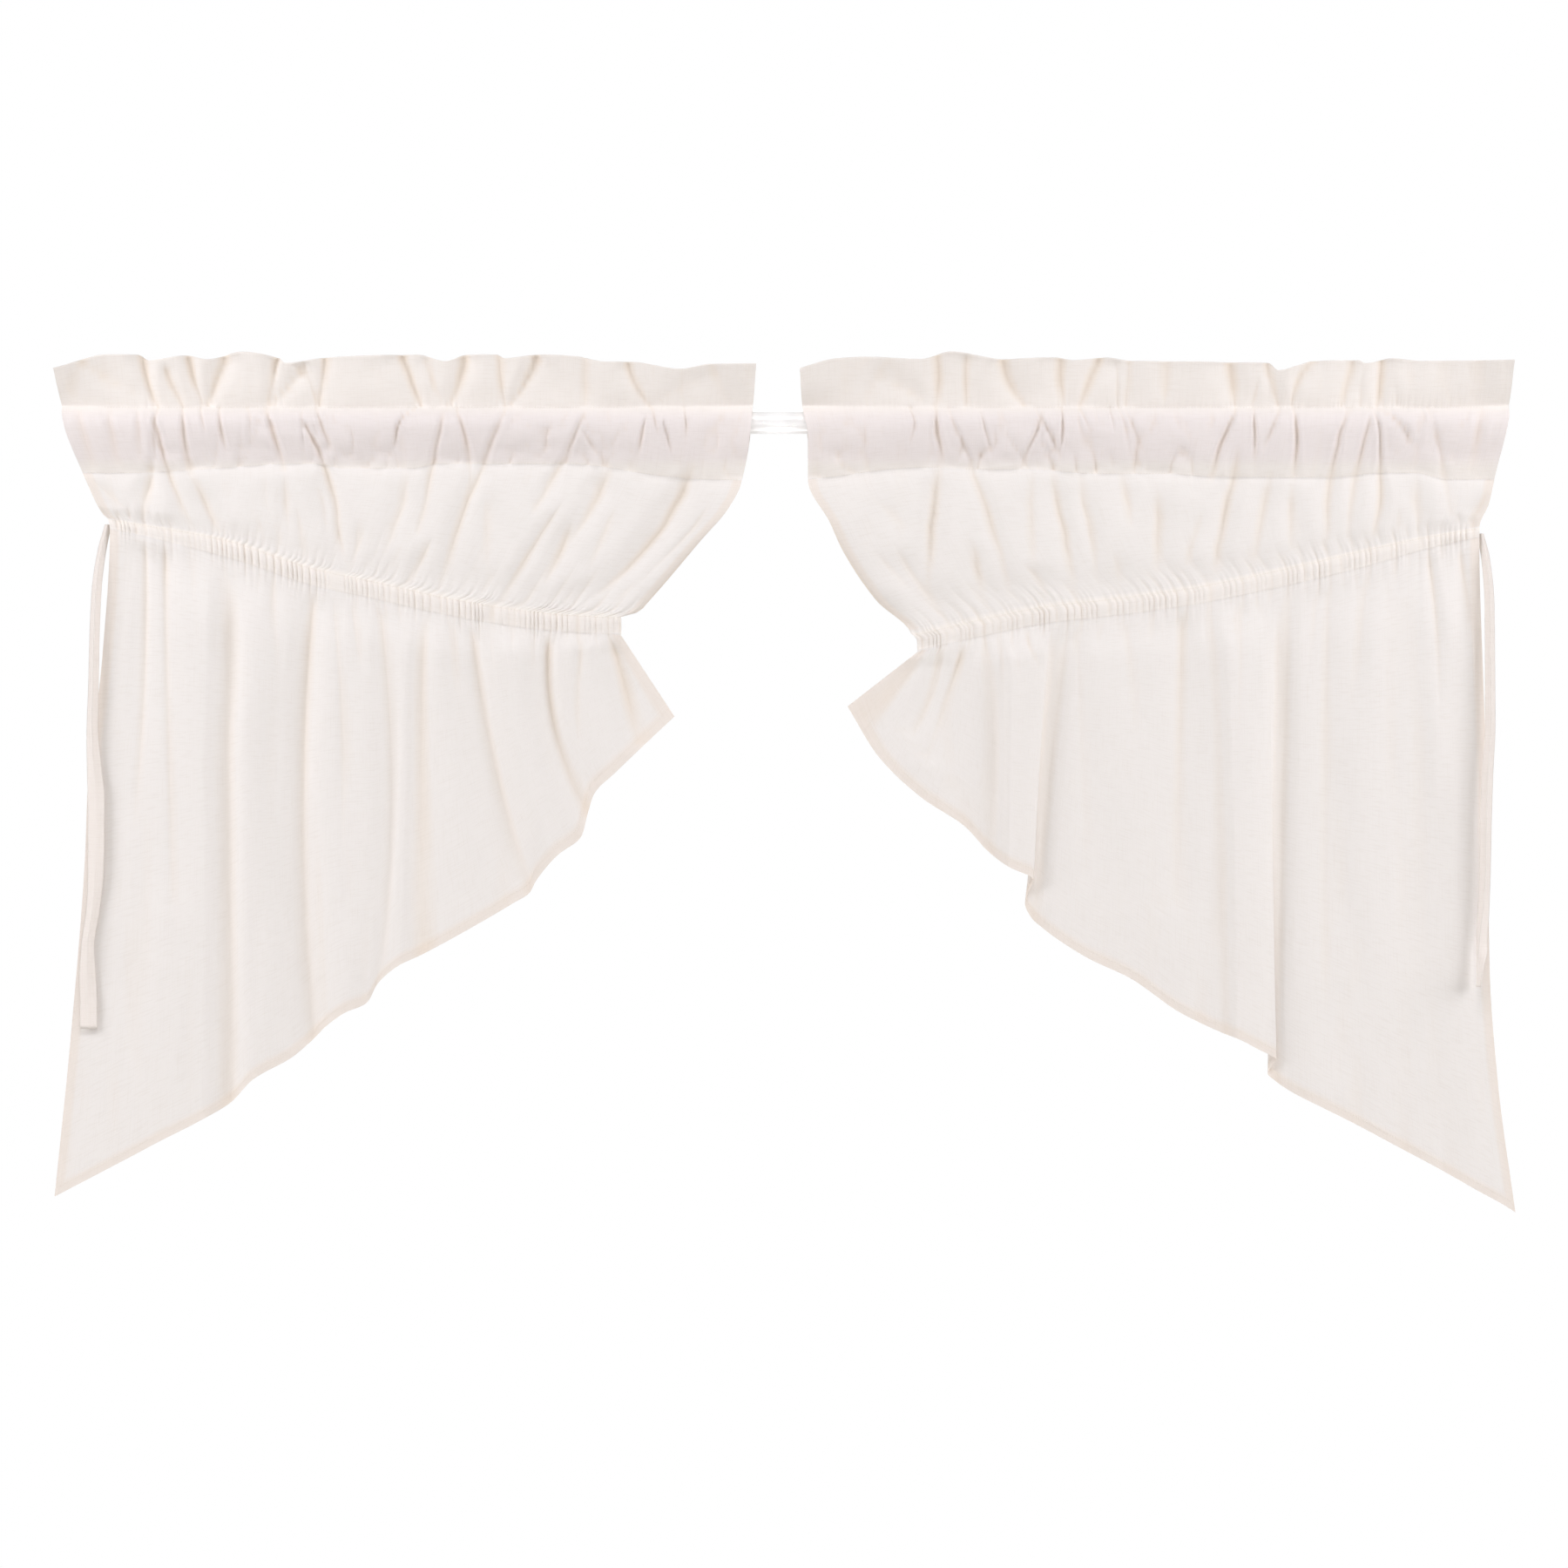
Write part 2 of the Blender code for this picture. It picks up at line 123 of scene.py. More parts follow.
LEFT = Panel(
    name="left",
    side=-1,
    top=[Point(*p) for p in (
        (29, 62), (78, 62), (111, 57), (167, 65), (192, 65), (225, 71), (264, 73), (302, 69), (311, 73),
        (344, 73), (367, 66), (397, 73), (495, 70), (541, 64), (547, 69), (588, 76), (626, 68), (648, 72),
        (689, 67), (701, 73), (733, 73), (790, 57),
    )],
    seam=[Point(*p) for p in (
        (45, -64), (86, -63), (125, -60), (236, -46), (374, -46), (403, -51), (478, -51), (511, -46),
        (542, -46), (600, -50), (714, -56), (761, -56),
    )],
    casing=[Point(*p) for p in (
        (176, -222), (248, -218), (318, -209), (387, -196), (444, -183), (513, -168), (601, -139),
        (695, -118), (733, -111),
    )],
    inner=[Edge(*e) for e in (
        (0, 29), (1, 33), (2, 45), (2.19, 58), (2.45, 91), (2.89, 147), (2.96, 157), (3, 176), (4, 176),
        (5, 118),
    )],
    outer=[Edge(*e) for e in (
        (0, 790), (1, 783), (1.3, 779), (2, 761), (2.9, 739), (3, 734), (4, 732), (4.2, 741), (4.38, 756),
        (4.49, 759), (4.74, 773), (5, 792),
    )],
    # Creases of the heading, from the gathers in the row of stitches up to its edge
    heading=[Crease(*c) for c in (
        (687, 26, 759, 63, -3, 9, 0.6), (680, 16, 698, 71, -2, 6, 0.9), (651, 16, 670, 53, 0, 5, 0.7),
        (629, 16, 647, 68, 0, 5, 0.8), (625, 16, 608, 70, 0, 8, 1.0), (606, 48, 571, 20, -7, 2.5, 0.3),
        (562, 16, 550, 66, 0, 6, 0.9), (550, 60, 544, 76, 0, 3, 0.5, 0.8), (556, 20, 525, 54, 0, 8, 1.0),
        (506, 16, 520, 60, 0, 6, 0.8), (505, 16, 498, 68, 0, 6, 0.85), (394, 16, 414, 70, 0, 7, 1.1),
        (367, 16, 390, 66, 0, 9, 0.7), (363, 16, 346, 70, 2, 8, 1.0), (304, 16, 310, 71, 0, 8, 0.8),
        (299, 18, 269, 68, 3, 6, 0.9), (215, 16, 215, 68, 0, 10, 0.5), (144, 16, 168, 61, -3, 6, 0.8),
        (140, 19, 75, 50, -2, 10, 0.4),
    )],
    # Creases that run from those gathers through the pocket and down the swag
    swag=[Crease(*c) for c in (
        (762, 8, 750, -48, 0, 9, 0.5), (731, 8, 722, -44, 0, 8, 0.5), (700, 4, 697, -36, 0, 6, 0.5),
        (679, 16, 681, -37, 2.5, 4, 1.0), (681, -37, 695, -95, 0, 6, 1.1),
        (678, -10, 642, -114, 5, 5, 1.0), (651, 18, 644, -52, 2, 4.5, 0.9),
        (644, -52, 606, -131, 2, 5, 1.1), (632, 17, 628, -5, 0, 3, 0.7), (612, 17, 607, -27, 0, 3.5, 0.8),
        (622, -36, 604, -34, -3, 3, 0.5), (584, 19, 580, -10, -3, 3, 0.6), (562, 15, 544, -47, 0, 5, 1.0),
        (544, -47, 537, -119, 0, 5, 0.7), (564, -47, 539, -141, 7, 7, 0.5),
        (532, -71, 519, -152, 0, 5, 0.6), (507, 13, 496, -21, 0, 3.5, 0.8),
        (518, -7, 480, -146, -8, 5, 0.9), (523, 8, 522, -28, 0, 3, 0.5), (512, -43, 490, -140, 0, 5, 0.7),
        (488, -90, 474, -157, 0, 4, 0.7), (462, -96, 464, -162, 0, 7, 0.8),
        (394, 19, 420, -22, 7, 2.5, 1.0), (405, -46, 443, -169, -4, 7, 0.6),
        (367, 15, 396, -119, 0, 5, 0.65), (374, -115, 406, -176, 0, 4, 0.7),
        (356, 17, 343, -82, -7, 5, 0.75), (303, 11, 376, -191, 4, 6, 0.75),
        (323, -55, 321, -187, 0, 8, 0.5), (218, 3, 269, -92, -3, 5, 0.7),
        (232, -75, 337, -232, 0, 3.5, 0.5, 0.5), (214, -14, 194, -46, 0, 5, 0.6),
        (222, -94, 255, -169, 0, 6, 0.9), (176, -74, 210, -160, 0, 6, 0.6),
        (149, -1, 155, -25, 0, 3, 0.7), (182, -37, 229, -128, -3, 7, 1.0), (142, 15, 135, -9, 0, 3, 0.8),
        (127, -7, 122, -28, 0, 3, 0.7), (106, 9, 106, -9, 0, 2.5, 0.7),
        (91, -37, 239, -211, -20, 6.5, 1.2), (73, -80, 198, -207, -8, 5, 0.6),
        (218, -169, 247, -206, 0, 5, 0.8), (151, -161, 189, -204, 0, 3.5, 0.6),
        (756, -59, 714, -94, 0, 3.5, 0.5), (724, -96, 720, -122, 0, 2.5, 1.1),
        (712, -90, 708, -125, 0, 2.5, 1.2), (702, -98, 703, -125, 0, 2.5, 1.0),
        (693, -84, 697, -126, 0, 3, 1.2), (665, -90, 663, -128, 0, 4, 0.6),
        (573, -96, 564, -131, 0, 4, 0.5),
    )],
    # Creases that start at the casing and run down the tail
    gathers=[Crease(*c) for c in (
        (704, -120, 713, -195, 0, 5, 0.7), (694, -126, 705, -430, -5, 7, 1.5),
        (673, -126, 662, -520, 1, 8, 1.5), (604, -154, 598, -740, 0, 10, 0.3),
        (571, -162, 571, -189, 0, 3, 0.5), (556, -168, 548, -270, 0, 6, 0.5),
        (510, -180, 510, -671, 12, 8, 1.1), (490, -188, 479, -480, -6, 6, 0.7),
        (468, -205, 458, -268, 0, 4, 0.5), (439, -197, 438, -610, -13, 7, 0.6),
        (389, -205, 389, -570, 4, 7, 0.3), (358, -208, 354, -288, 0, 6, 0.5),
        (337, -232, 272, -508, 9, 7, 0.6), (254, -228, 213, -424, 16, 5, 1.3),
        (218, -240, 216, -415, 7, 5, 0.6), (188, -228, 158, -345, 0, 6, 1.4),
    )],
    tail=[Section(*s) for s in (
        (0.00, 118, -320, 2), (0.03, 152, -352, 6, 4), (0.08, 182, -381, 12, 10),
        (0.12, 205, -404, 9, 15), (0.14, 212, -424, 6.5, 16), (0.17, 219, -450, 9, 15),
        (0.22, 245, -471, 16, 12), (0.27, 268, -498, 9, 10), (0.29, 276, -512, 5.5, 9),
        (0.32, 295, -524, 9, 8), (0.36, 350, -556, 15, 4), (0.385, 393, -579, 9.5, 4),
        (0.42, 418, -591, 14, -2), (0.46, 440, -610, 10, -12), (0.50, 452, -631, 13, -8),
        (0.55, 476, -642, 16, 4), (0.58, 497, -657, 10, 10), (0.61, 511, -671, 5.5, 12),
        (0.65, 533, -690, 10, 10), (0.72, 575, -714, 16, 6), (0.765, 601, -740, 5.5, 3),
        (0.81, 633, -759, 15, 2), (0.87, 680, -783, 14, 0), (0.91, 710, -799, 10, 0),
        (0.95, 750, -820, 8, 0), (1.00, 792, -842, 4, 0),
    )],
    tie=[Tape(*t) for t in (
        (735.0, -111, 3, 70, 70), (741, -140, 9, 62, 62), (746, -182, 14, 58, 58),
        (748, -230, 16, 57, 57), (749, -280, 17, 56, 56), (750, -330, 17, 56, 50),
        (748, -376, 16, 38, 34), (746, -410, 15, 14, 20), (746, -455, 14.5, 10, 22),
        (747, -490, 15, 12, 32), (750, -530, 17, 35, 45), (755, -572, 18, 48, 42),
        (755, -600, 16.5, 28, 22), (754, -632, 14, 8, 14), (754, -659, 13.5, 6, 10),
    )],
)

RIGHT = Panel(
    name="right",
    side=1,
    top=[Point(*p) for p in (
        (18, 57), (58, 68), (90, 70), (149, 68), (182, 76), (238, 68), (296, 70), (316, 67), (349, 70),
        (380, 66), (464, 65), (527, 64), (538, 56), (561, 62), (575, 66), (625, 67), (633, 64), (661, 69),
        (694, 66), (792, 66),
    )],
    seam=[Point(*p) for p in (
        (27, -63), (38, -62), (149, -50), (166, -50), (205, -52), (265, -52), (343, -57), (418, -57),
        (464, -60), (597, -61), (652, -56), (686, -56), (722, -63), (773, -63),
    )],
    casing=[Point(*p) for p in (
        (146, -240), (209, -225), (290, -209), (353, -202), (441, -190), (536, -171), (630, -149),
        (693, -133), (757, -120),
    )],
    inner=[Edge(*e) for e in (
        (0, 18), (1, 21), (1.4, 27), (2, 27), (2.28, 51), (2.45, 64), (2.78, 101), (3, 139), (3.4, 146),
        (4, 146), (5, 70),
    )],
    outer=[Edge(*e) for e in (
        (0, 792), (1, 788), (2, 773), (2.5, 767), (3, 757), (4, 757), (4.38, 765), (4.64, 768),
        (4.81, 777), (5, 796),
    )],
    heading=[Crease(*c) for c in (
        (152, 24, 105, 50, 0, 10, 0.6), (164, 16, 168, 71, -2, 8, 0.75), (200, 16, 198, 66, 0, 7, 0.7),
        (263, 18, 238, 66, 3, 9, 0.9), (306, 16, 301, 66, 0, 9, 0.8), (323, 16, 343, 66, 0, 9, 1.0),
        (364, 16, 362, 61, 0, 5, 0.6), (373, 16, 375, 64, 0, 6, 0.6), (416, 30, 416, 62, 0, 9, 0.4),
        (493, 16, 484, 62, 0, 9, 0.8), (510, 16, 516, 41, 0, 4, 0.6), (540, 16, 526, 61, 0, 8, 0.75),
        (553, 16, 577, 66, 6, 6, 0.65), (606, 16, 618, 63, 0, 8, 0.8), (626, 16, 631, 63, 0, 7, 0.6),
        (648, 16, 651, 64, 0, 8, 1.0), (671, 10, 664, 37, 0, 4, 0.5),
    )],
    swag=[Crease(*c) for c in (
        (165, 13, 172, -36, 0, 4, 1.0), (176, -15, 196, -15, 1, 3, 0.6), (218, -40, 262, -38, -3, 3, 0.6),
        (270, -22, 304, -40, 4, 3, 0.5), (311, -17, 366, -19, -2, 3.5, 0.7),
        (172, -36, 159, -187, -4, 5, 0.9), (202, -122, 224, -210, 0, 5, 0.7),
        (179, 15, 249, -201, 7, 5, 0.5, 0.3), (224, -28, 202, -43, 0, 3, 0.6),
        (138, 13, 140, -17, 4, 3, 0.6), (236, 5, 236, -19, 0, 9, 0.4), (217, 5, 226, -32, 0, 3, 0.5),
        (280, 3, 264, -39, 0, 3.5, 0.9), (280, 3, 302, -35, 0, 3.5, 0.8),
        (271, -46, 271, -146, 0, 6, 0.6), (303, 13, 303, -28, 0, 3, 1.0),
        (292, -46, 323, -196, -2, 6, 0.8), (324, 11, 330, -3, 0, 3, 0.8),
        (319, -46, 346, -189, 0, 5, 0.6), (356, 13, 357, -3, 0, 2.5, 0.7),
        (366, 13, 375, -28, 0, 3.5, 0.5), (374, 8, 395, -41, 0, 3, 0.35), (395, -41, 375, -50, 0, 3, 0.5),
        (366, -46, 379, -110, 0, 5, 0.6), (353, -129, 367, -187, 2, 5, 0.6),
        (408, -64, 406, -180, 0, 7, 0.7), (492, 11, 467, -57, -3, 4, 1.0),
        (498, -21, 465, -173, 0, 5, 1.0), (465, -79, 428, -180, 0, 6, 0.6),
        (512, 13, 513, -32, 0, 3, 0.8), (540, 11, 524, -24, 0, 4, 0.8), (531, -46, 509, -162, 0, 5, 0.7),
        (556, 10, 555, -54, 3, 4, 1.0), (553, -54, 552, -143, -2, 5, 0.6),
        (613, 13, 590, -142, -7, 5, 0.8), (635, -1, 611, -126, -2, 5, 0.7),
        (640, 17, 635, -147, 12, 4, 0.75), (649, 13, 682, -23, 4, 4, 0.9),
        (687, -46, 692, -129, 0, 6, 0.6), (671, -82, 667, -134, 0, 5, 0.6),
        (703, 9, 726, -118, 4, 4.5, 0.4), (757, 6, 749, -50, 0, 9, 0.6), (690, 2, 686, -44, 0, 8, 0.4),
        (769, -74, 741, -116, 0, 4, 0.6), (117, -130, 182, -224, 0, 7, 0.7),
        (92, -77, 136, -118, 0, 10, 0.5), (92, -135, 152, -192, 0, 6, 0.45),
        (96, -177, 155, -242, 0, 5, 0.6), (202, -201, 219, -215, 3, 2.5, 0.5),
        (251, -150, 286, -196, 8, 5, 0.7), (733, -98, 737, -118, 0, 2.5, 0.6),
        (746, -100, 748, -118, 0, 2.5, 0.6),
    )],
    gathers=[Crease(*c) for c in (
        (155, -238, 150, -266, 0, 3.5, 1.0), (150, -262, 108, -312, 0, 7, 0.5),
        (173, -243, 142, -338, 5, 6, 1.7), (195, -246, 158, -362, 0, 6, 1.4),
        (216, -243, 215, -450, 7, 7, 0.3), (237, -229, 236, -298, 0, 4, 0.5),
        (247, -236, 258, -282, 0, 5, 0.5), (264, -224, 281, -266, -4, 2.5, 0.7),
        (319, -215, 330, -500, 0, 9, 0.5), (342, -215, 343, -252, 0, 5, 0.4),
        (371, -210, 385, -330, 0, 7, 0.5), (399, -205, 399, -242, 0, 4, 0.4),
        (434, -202, 427, -520, 0, 9, 1.1), (457, -200, 459, -253, 0, 5, 0.4),
        (496, -184, 470, -560, 8, 9, 0.6), (513, -181, 518, -208, 0, 3, 0.5),
        (581, -177, 568, -300, 0, 7, 0.5), (593, -164, 592, -700, -4, 10, 0.7),
        (635, -155, 612, -340, 0, 8, 0.6), (665, -140, 665, -162, 0, 3, 0.5),
        (701, -134, 712, -310, 3, 4, 0.8), (736, -140, 748, -221, 0, 4, 0.8),
    )],
    tail=[Section(*s) for s in (
        (0.00, 70, -309, 3), (0.03, 104, -364, 5), (0.07, 150, -408, 8), (0.10, 198, -440, 8),
        (0.12, 220, -464, 8, 7), (0.145, 234, -476, 14, 4), (0.17, 246, -484, 20), (0.2, 260, -490, 17),
        (0.218, 269, -494, 13), (0.230, 272, -499, 9), (0.237, 268, -508, 5), (0.25, 263, -523, 1),
        (0.265, 271, -540, 0), (0.278, 281, -549, 3), (0.292, 291, -557, 6), (0.34, 330, -582, 9),
        (0.40, 378, -605, 10), (0.46, 430, -641, 10), (0.52, 478, -664, 12), (0.555, 496, -671, 20),
        (0.585, 515, -681, 17), (0.608, 529, -688, 12), (0.624, 536, -693, 7), (0.632, 531, -700, 5),
        (0.645, 527, -708, 1), (0.66, 535, -716, 0), (0.674, 546, -724, 3), (0.69, 558, -731, 6),
        (0.73, 590, -747, 8), (0.76, 622, -763, 9), (0.81, 665, -786, 11), (0.87, 712, -811, 10),
        (0.93, 756, -836, 13), (0.97, 780, -849, 10), (1.00, 796, -859, 5),
    )],
    tie=[Tape(*t) for t in (
        (759.4, -121, 3, 70, 70), (764, -150, 12, 62, 62), (767, -200, 20, 58, 58),
        (767, -260, 24, 57, 57), (767, -327, 26, 56, 56), (764, -380, 27, 52, 52),
        (762, -430, 28, 50, 50), (761, -488, 28, 52, 52), (758, -530, 28, 62, 40),
        (754, -564, 28, 80, 20), (752, -590, 28, 95, -50), (751, -613, 28, 98, -72),
    )],
)


# ---------------------------------------------------------------- shapes


def eased(x):
    """From 0 to 1 as x does, level at both ends."""
    x = np.clip(x, 0.0, 1.0)
    return x * x * (3 - 2 * x)


def blend(a, b, share):
    """From a to b by a share."""
    return a + (b - a) * share


def bell(x, centre, width):
    """1 at the centre, dying away over the width to both sides."""
    return np.exp(-(((x - centre) / width) ** 2))


def along(rows, at, column=1):
    """A column of a table at places along its first, on a smooth curve that never overshoots."""
    keys = np.array([r[0] for r in rows], float)
    values = np.array([r[column] for r in rows], float)
    steps = np.diff(keys)
    rises = np.diff(values) / steps
    slopes = np.zeros(len(keys))
    slopes[0], slopes[-1] = rises[0], rises[-1]
    alike = rises[:-1] * rises[1:] > 0
    total = np.where(alike, rises[:-1] + rises[1:], 1.0)
    slopes[1:-1] = np.where(alike, 2 * rises[:-1] * rises[1:] / total, 0.0)
    at = np.clip(np.asarray(at, float), keys[0], keys[-1])
    i = np.clip(np.searchsorted(keys, at, side="right") - 1, 0, len(steps) - 1)
    t = (at - keys[i]) / steps[i]
    start = values[i] * (1 + 2 * t) * (1 - t) ** 2 + values[i + 1] * t * t * (3 - 2 * t)
    return start + steps[i] * (slopes[i] * t * (1 - t) ** 2 - slopes[i + 1] * t * t * (1 - t))


def uneven(a, b, length_a, length_b, seed):
    """Smooth unevenness from -1 to 1, with lumps of the given lengths along a and b."""
    size = 61
    lattice = np.random.default_rng(seed).uniform(-1, 1, (size, size))
    x, y = a / length_a + 7.3, b / length_b + 11.7
    i, j = np.floor(x).astype(int), np.floor(y).astype(int)
    fx, fy = x - i, y - j
    fx, fy = fx * fx * (3 - 2 * fx), fy * fy * (3 - 2 * fy)

    def at(di, dj):
        return lattice[(i + di) % size, (j + dj) % size]

    return blend(blend(at(0, 0), at(1, 0), fx), blend(at(0, 1), at(1, 1), fx), fy)


def creased(creases, out, up, widens, dies, broad=1.0, open_below=-math.inf):
    """(how deep the cloth lies in its creases, how it leans): depth 1 is a full crease.

    A crease widens along its length, and by its end it has lost the share that dies. broad widens
    them all. One that starts lower than open_below starts in open cloth, so it rises slowly.
    """
    end_fade = 8  # how far a crease goes on past its ends
    deep, lean = np.zeros_like(out), np.zeros_like(out)
    for c in creases:
        run_out, run_up = c.end_out - c.out, c.end_up - c.up
        length = math.hypot(run_out, run_up)
        t = ((out - c.out) * run_out + (up - c.up) * run_up) / length**2
        on = np.clip(t, 0, 1)
        off = ((up - c.up) * run_out - (out - c.out) * run_up) / length - c.bow * 4 * on * (1 - on)
        past = np.abs(t - on) * length
        width = c.width * (0.75 + widens * on) * broad
        fade = bell(past, 0, end_fade) * (1 - dies * on**3)
        if c.up < open_below:
            fade = fade * eased((t * length + 4) / min(48, 0.7 * length))
            width = width * (1.5 - 0.5 * on)
        # a sharp valley between wide shoulders
        x = off / width
        trough = 0.6 * np.exp(0.12 - np.sqrt(x * x + 0.0144)) + 0.4 / (1 + (x / 3.6) ** 2)
        # where creases cross, the deeper one counts for most
        deep += np.maximum(c.depth * fade * trough, 0) ** 2.5
        lean += 0.6 * c.depth * fade * bell(np.abs(x), 2.3, 1.1)
        lean += c.lean * fade * np.tanh(off / (0.6 * width)) * bell(off, 0, 3 * width)
    return np.minimum(deep**0.4, 1.5), lean


def pocket_half(up, seam_up):
    """Half the pocket's depth from front to back: round the rod, then straight to the seam."""
    over = math.acos(WRAP / STITCH_UP)
    under = np.arccos(WRAP / -seam_up)
    round_it = np.sqrt(np.maximum(WRAP**2 - up**2, 0.0))
    half = np.where(up < -WRAP * np.cos(under), (up - seam_up) / np.tan(under), round_it)
    return np.where(up > WRAP * math.cos(over), (STITCH_UP - up) / math.tan(over), half)


def rail_up(panel, row, across):
    """Height of a row of the panel at places across it."""
    out = blend(along(panel.inner, row), along(panel.outer, row), across)
    if row == TOP:
        return along(panel.top, out)
    if row == STITCH:
        return np.full_like(across, STITCH_UP)
    if row == SEAM:
        return along(panel.seam, out)
    if row == HEM:
        return along(panel.tail, across, HEM_UP)
    half = blend(CASING_HEIGHT, CASING_END_HEIGHT, eased((across - 0.75) / 0.25)) / 2
    return along(panel.casing, out) + (half if row == CASING_TOP else -half)


def at_ends(line):
    """1 at a panel's inner and outer end, dying away from them, more slowly from the inner one."""
    wide = np.abs(line.out[-1] - line.out[0])
    return np.exp(-line.across * wide / 70) + np.exp(-(1 - line.across) * wide / 38)


def to_side(out):
    """How far each place in a row lies from the nearer side of the panel."""
    return np.minimum(np.abs(out - out[0]), np.abs(out[-1] - out))


def puckers(across, pitch, seed):
    """Small gathers side by side, rounded with sharp valleys, of uneven width and height."""
    cells = across * CUT_WIDTH * GATHERED_TO / pitch
    wander = 1.2 * uneven(cells, cells * 0, 2.3, 1.0, seed)
    height = 0.7 + 0.45 * uneven(cells, cells * 0, 3.7, 1.0, seed + 1)
    return height * np.abs(np.sin(math.pi * (cells + wander)))


def drawn_in(away, line):
    """Ruffles that the drawstring makes, fine at the casing and broader away from it."""
    seed = line.seed + 20
    fine = puckers(line.across, 7.0, seed) * bell(away, 0, 9)
    middling = puckers(line.across, 15, seed + 5) * bell(away, 8, 12)
    broad = puckers(line.across, 32, seed + 9) * bell(away, 28, 26)
    return 1.5 * (fine + middling + broad)


def pinched(deep, line):
    """Small puckers in the row of stitches under the heading, most of them where creases end."""
    near = bell(line.up, STITCH_UP, 8)
    return 1.7 * (0.2 + 0.8 * deep) * near * (puckers(line.across, 5.5, line.seed + 40) - 0.5)


def crumpled(line, step):
    """Short sharp dents that run mostly down the cloth, from 0 between them to 1 in the deepest."""
    out, up, seed = line.out, line.up, line.seed + step
    first = 1 - np.abs(uneven(out, up, 21, 30, seed))
    second = 1 - np.abs(uneven(out + 0.5 * up, up, 33, 24, seed + 1))
    here = eased(0.5 + 1.2 * uneven(out, up, 70, 90, seed + 2))
    return here * (0.7 * first**4 + 0.6 * second**5)


def heading_front(line):
    """Ruffles that open from the row of stitches up to the edge, which nods forward at its ends."""
    height = 1 - line.share
    deep, lean = creased(line.panel.heading, line.bent, line.up, 0.9, 0.1, 0.75)
    ruffle = blend(STITCH_RUFFLE, HEADING_RUFFLE, height**0.7) * (1 - deep) + pinched(deep, line)
    ruffle = ruffle + (2.0 * lean + 2.6 * line.soft) * eased(height * 2)
    ruffle = ruffle + (HEADING_NOD + HEADING_NOD_MORE * height) * at_ends(line)
    ruffle = ruffle - HEADING_DENTS * crumpled(line, 60) * eased(height * 4) * (1 - 0.6 * height)
    return line.out, line.up, ruffle + blend(LAYERS, HEADING_LAYERS, height) / 2


def swag_creases(line):
    """The creases below the row of stitches, which are broader under the pocket than in it."""
    broad = blend(0.55, 1.25, eased((-30 - line.up) / 50))
    return creased(line.panel.swag, line.bent, line.up, 0.5, 0.5, broad, open_below=-20)


def pocket_front(line):
    """The pocket lies round the rod, in flattened ruffles with small dents."""
    deep, lean = swag_creases(line)
    ruffle = blend(STITCH_RUFFLE, POCKET_RUFFLE, eased(line.share * 2.6))
    ruffle = blend(ruffle, SEAM_RUFFLE, eased((line.share - 0.5) / 0.5)) * (1 - 0.75 * deep)
    ruffle = ruffle + pinched(deep, line)
    small = 2.8 * lean + 1.4 * line.soft - POCKET_DENTS * crumpled(line, 7)
    ruffle = ruffle + small * eased(line.share * 4)
    ruffle = ruffle + POCKET_NOD * at_ends(line) * (1 - line.share)
    forward = pocket_half(line.up, line.under) + np.maximum(ruffle, 0.15) + LAYERS / 2
    return line.out, line.up, forward


def inner_curl(line):
    """The swag's inner side turns back, most of all at the casing."""
    to_inner = line.across * (line.out[-1] - line.out[0])
    return -INNER_CURL * np.exp(-to_inner / 8) * eased((line.share - 0.15) / 0.5)


def swag_front(line):
    """The swag swells between the pocket's seam and the casing that draws it in."""
    deep, lean = swag_creases(line)
    drawn = eased((line.share - 0.7) / 0.3)
    swell = blend(SEAM_RUFFLE + 3, SWAG_RUFFLE, eased((line.over - line.under - 45) / 100))
    ruffle = blend(SEAM_RUFFLE, swell, np.sin(math.pi * line.share**0.8) ** 0.8)
    ruffle = blend(ruffle * (1 - deep), CASING_FORWARD - 3.0 * deep, drawn)
    ruffle = ruffle + 1.8 * lean + 1.6 * line.soft * (1 - drawn)
    ruffle = ruffle + inner_curl(line) * (1 - 0.6 * drawn)
    away = np.abs(line.up - line.under)
    return line.out, line.up, ruffle + drawn_in(away, line) + LAYERS / 2


def casing_front(line):
    """The casing puffs out between its two rows of stitches."""
    deep, lean = swag_creases(line)
    ruffle = CASING_FORWARD - 2.6 * deep + 1.8 * lean + 0.4 * inner_curl(line) * (1 - line.share)
    puff = np.sin(math.pi * line.share) * (0.4 + puckers(line.across, 7.0, line.seed + 20))
    forward = ruffle + CASING_PUFF * puff + drawn_in(0 * line.across, line) + LAYERS / 2
    return line.out, line.up, forward


def tail_front(line):
    """The tail's folds hang from the casing to places set along the hem."""
    panel, share, across, up = line.panel, line.share, line.across, line.up
    formed = eased(share / TAIL_FORMS_OVER)
    straight = blend(along(panel.inner, CASING_FOOT), along(panel.outer, CASING_FOOT), across)
    side_line = blend(along(panel.outer, CASING_FOOT), along(panel.outer, HEM), share)
    side_bow = along(panel.outer, CASING_FOOT + share) - side_line
    sway = along(panel.tail, across, SWAY) * 4 * share * (1 - share)
    out = blend(straight, along(panel.tail, across, HEM_OUT), share)
    out = out + side_bow * eased((across - 0.6) / 0.4) + sway
    seed = line.seed
    soft = uneven(out, up, 40, 130, seed + 2) + 0.5 * uneven(out, up, 17, 75, seed + 3)
    deep, lean = creased(panel.gathers, out, up, 1.0, 0.6, 1.15)
    away = np.abs(up - line.over)
    fall = blend(CASING_FORWARD, along(panel.tail, across, FORWARD), formed)
    fall = fall - TAIL_RUFFLE * deep * eased(away / 24) + 1.5 * lean + 1.6 * soft * formed
    to_edge = np.minimum((up - line.under) * HEM_SLANT, to_side(out))
    fall = fall + HEM_STEP * eased((HEM_WIDTH - to_edge) / 1.5)
    return out, up, fall + drawn_in(away, line) + LAYERS / 2


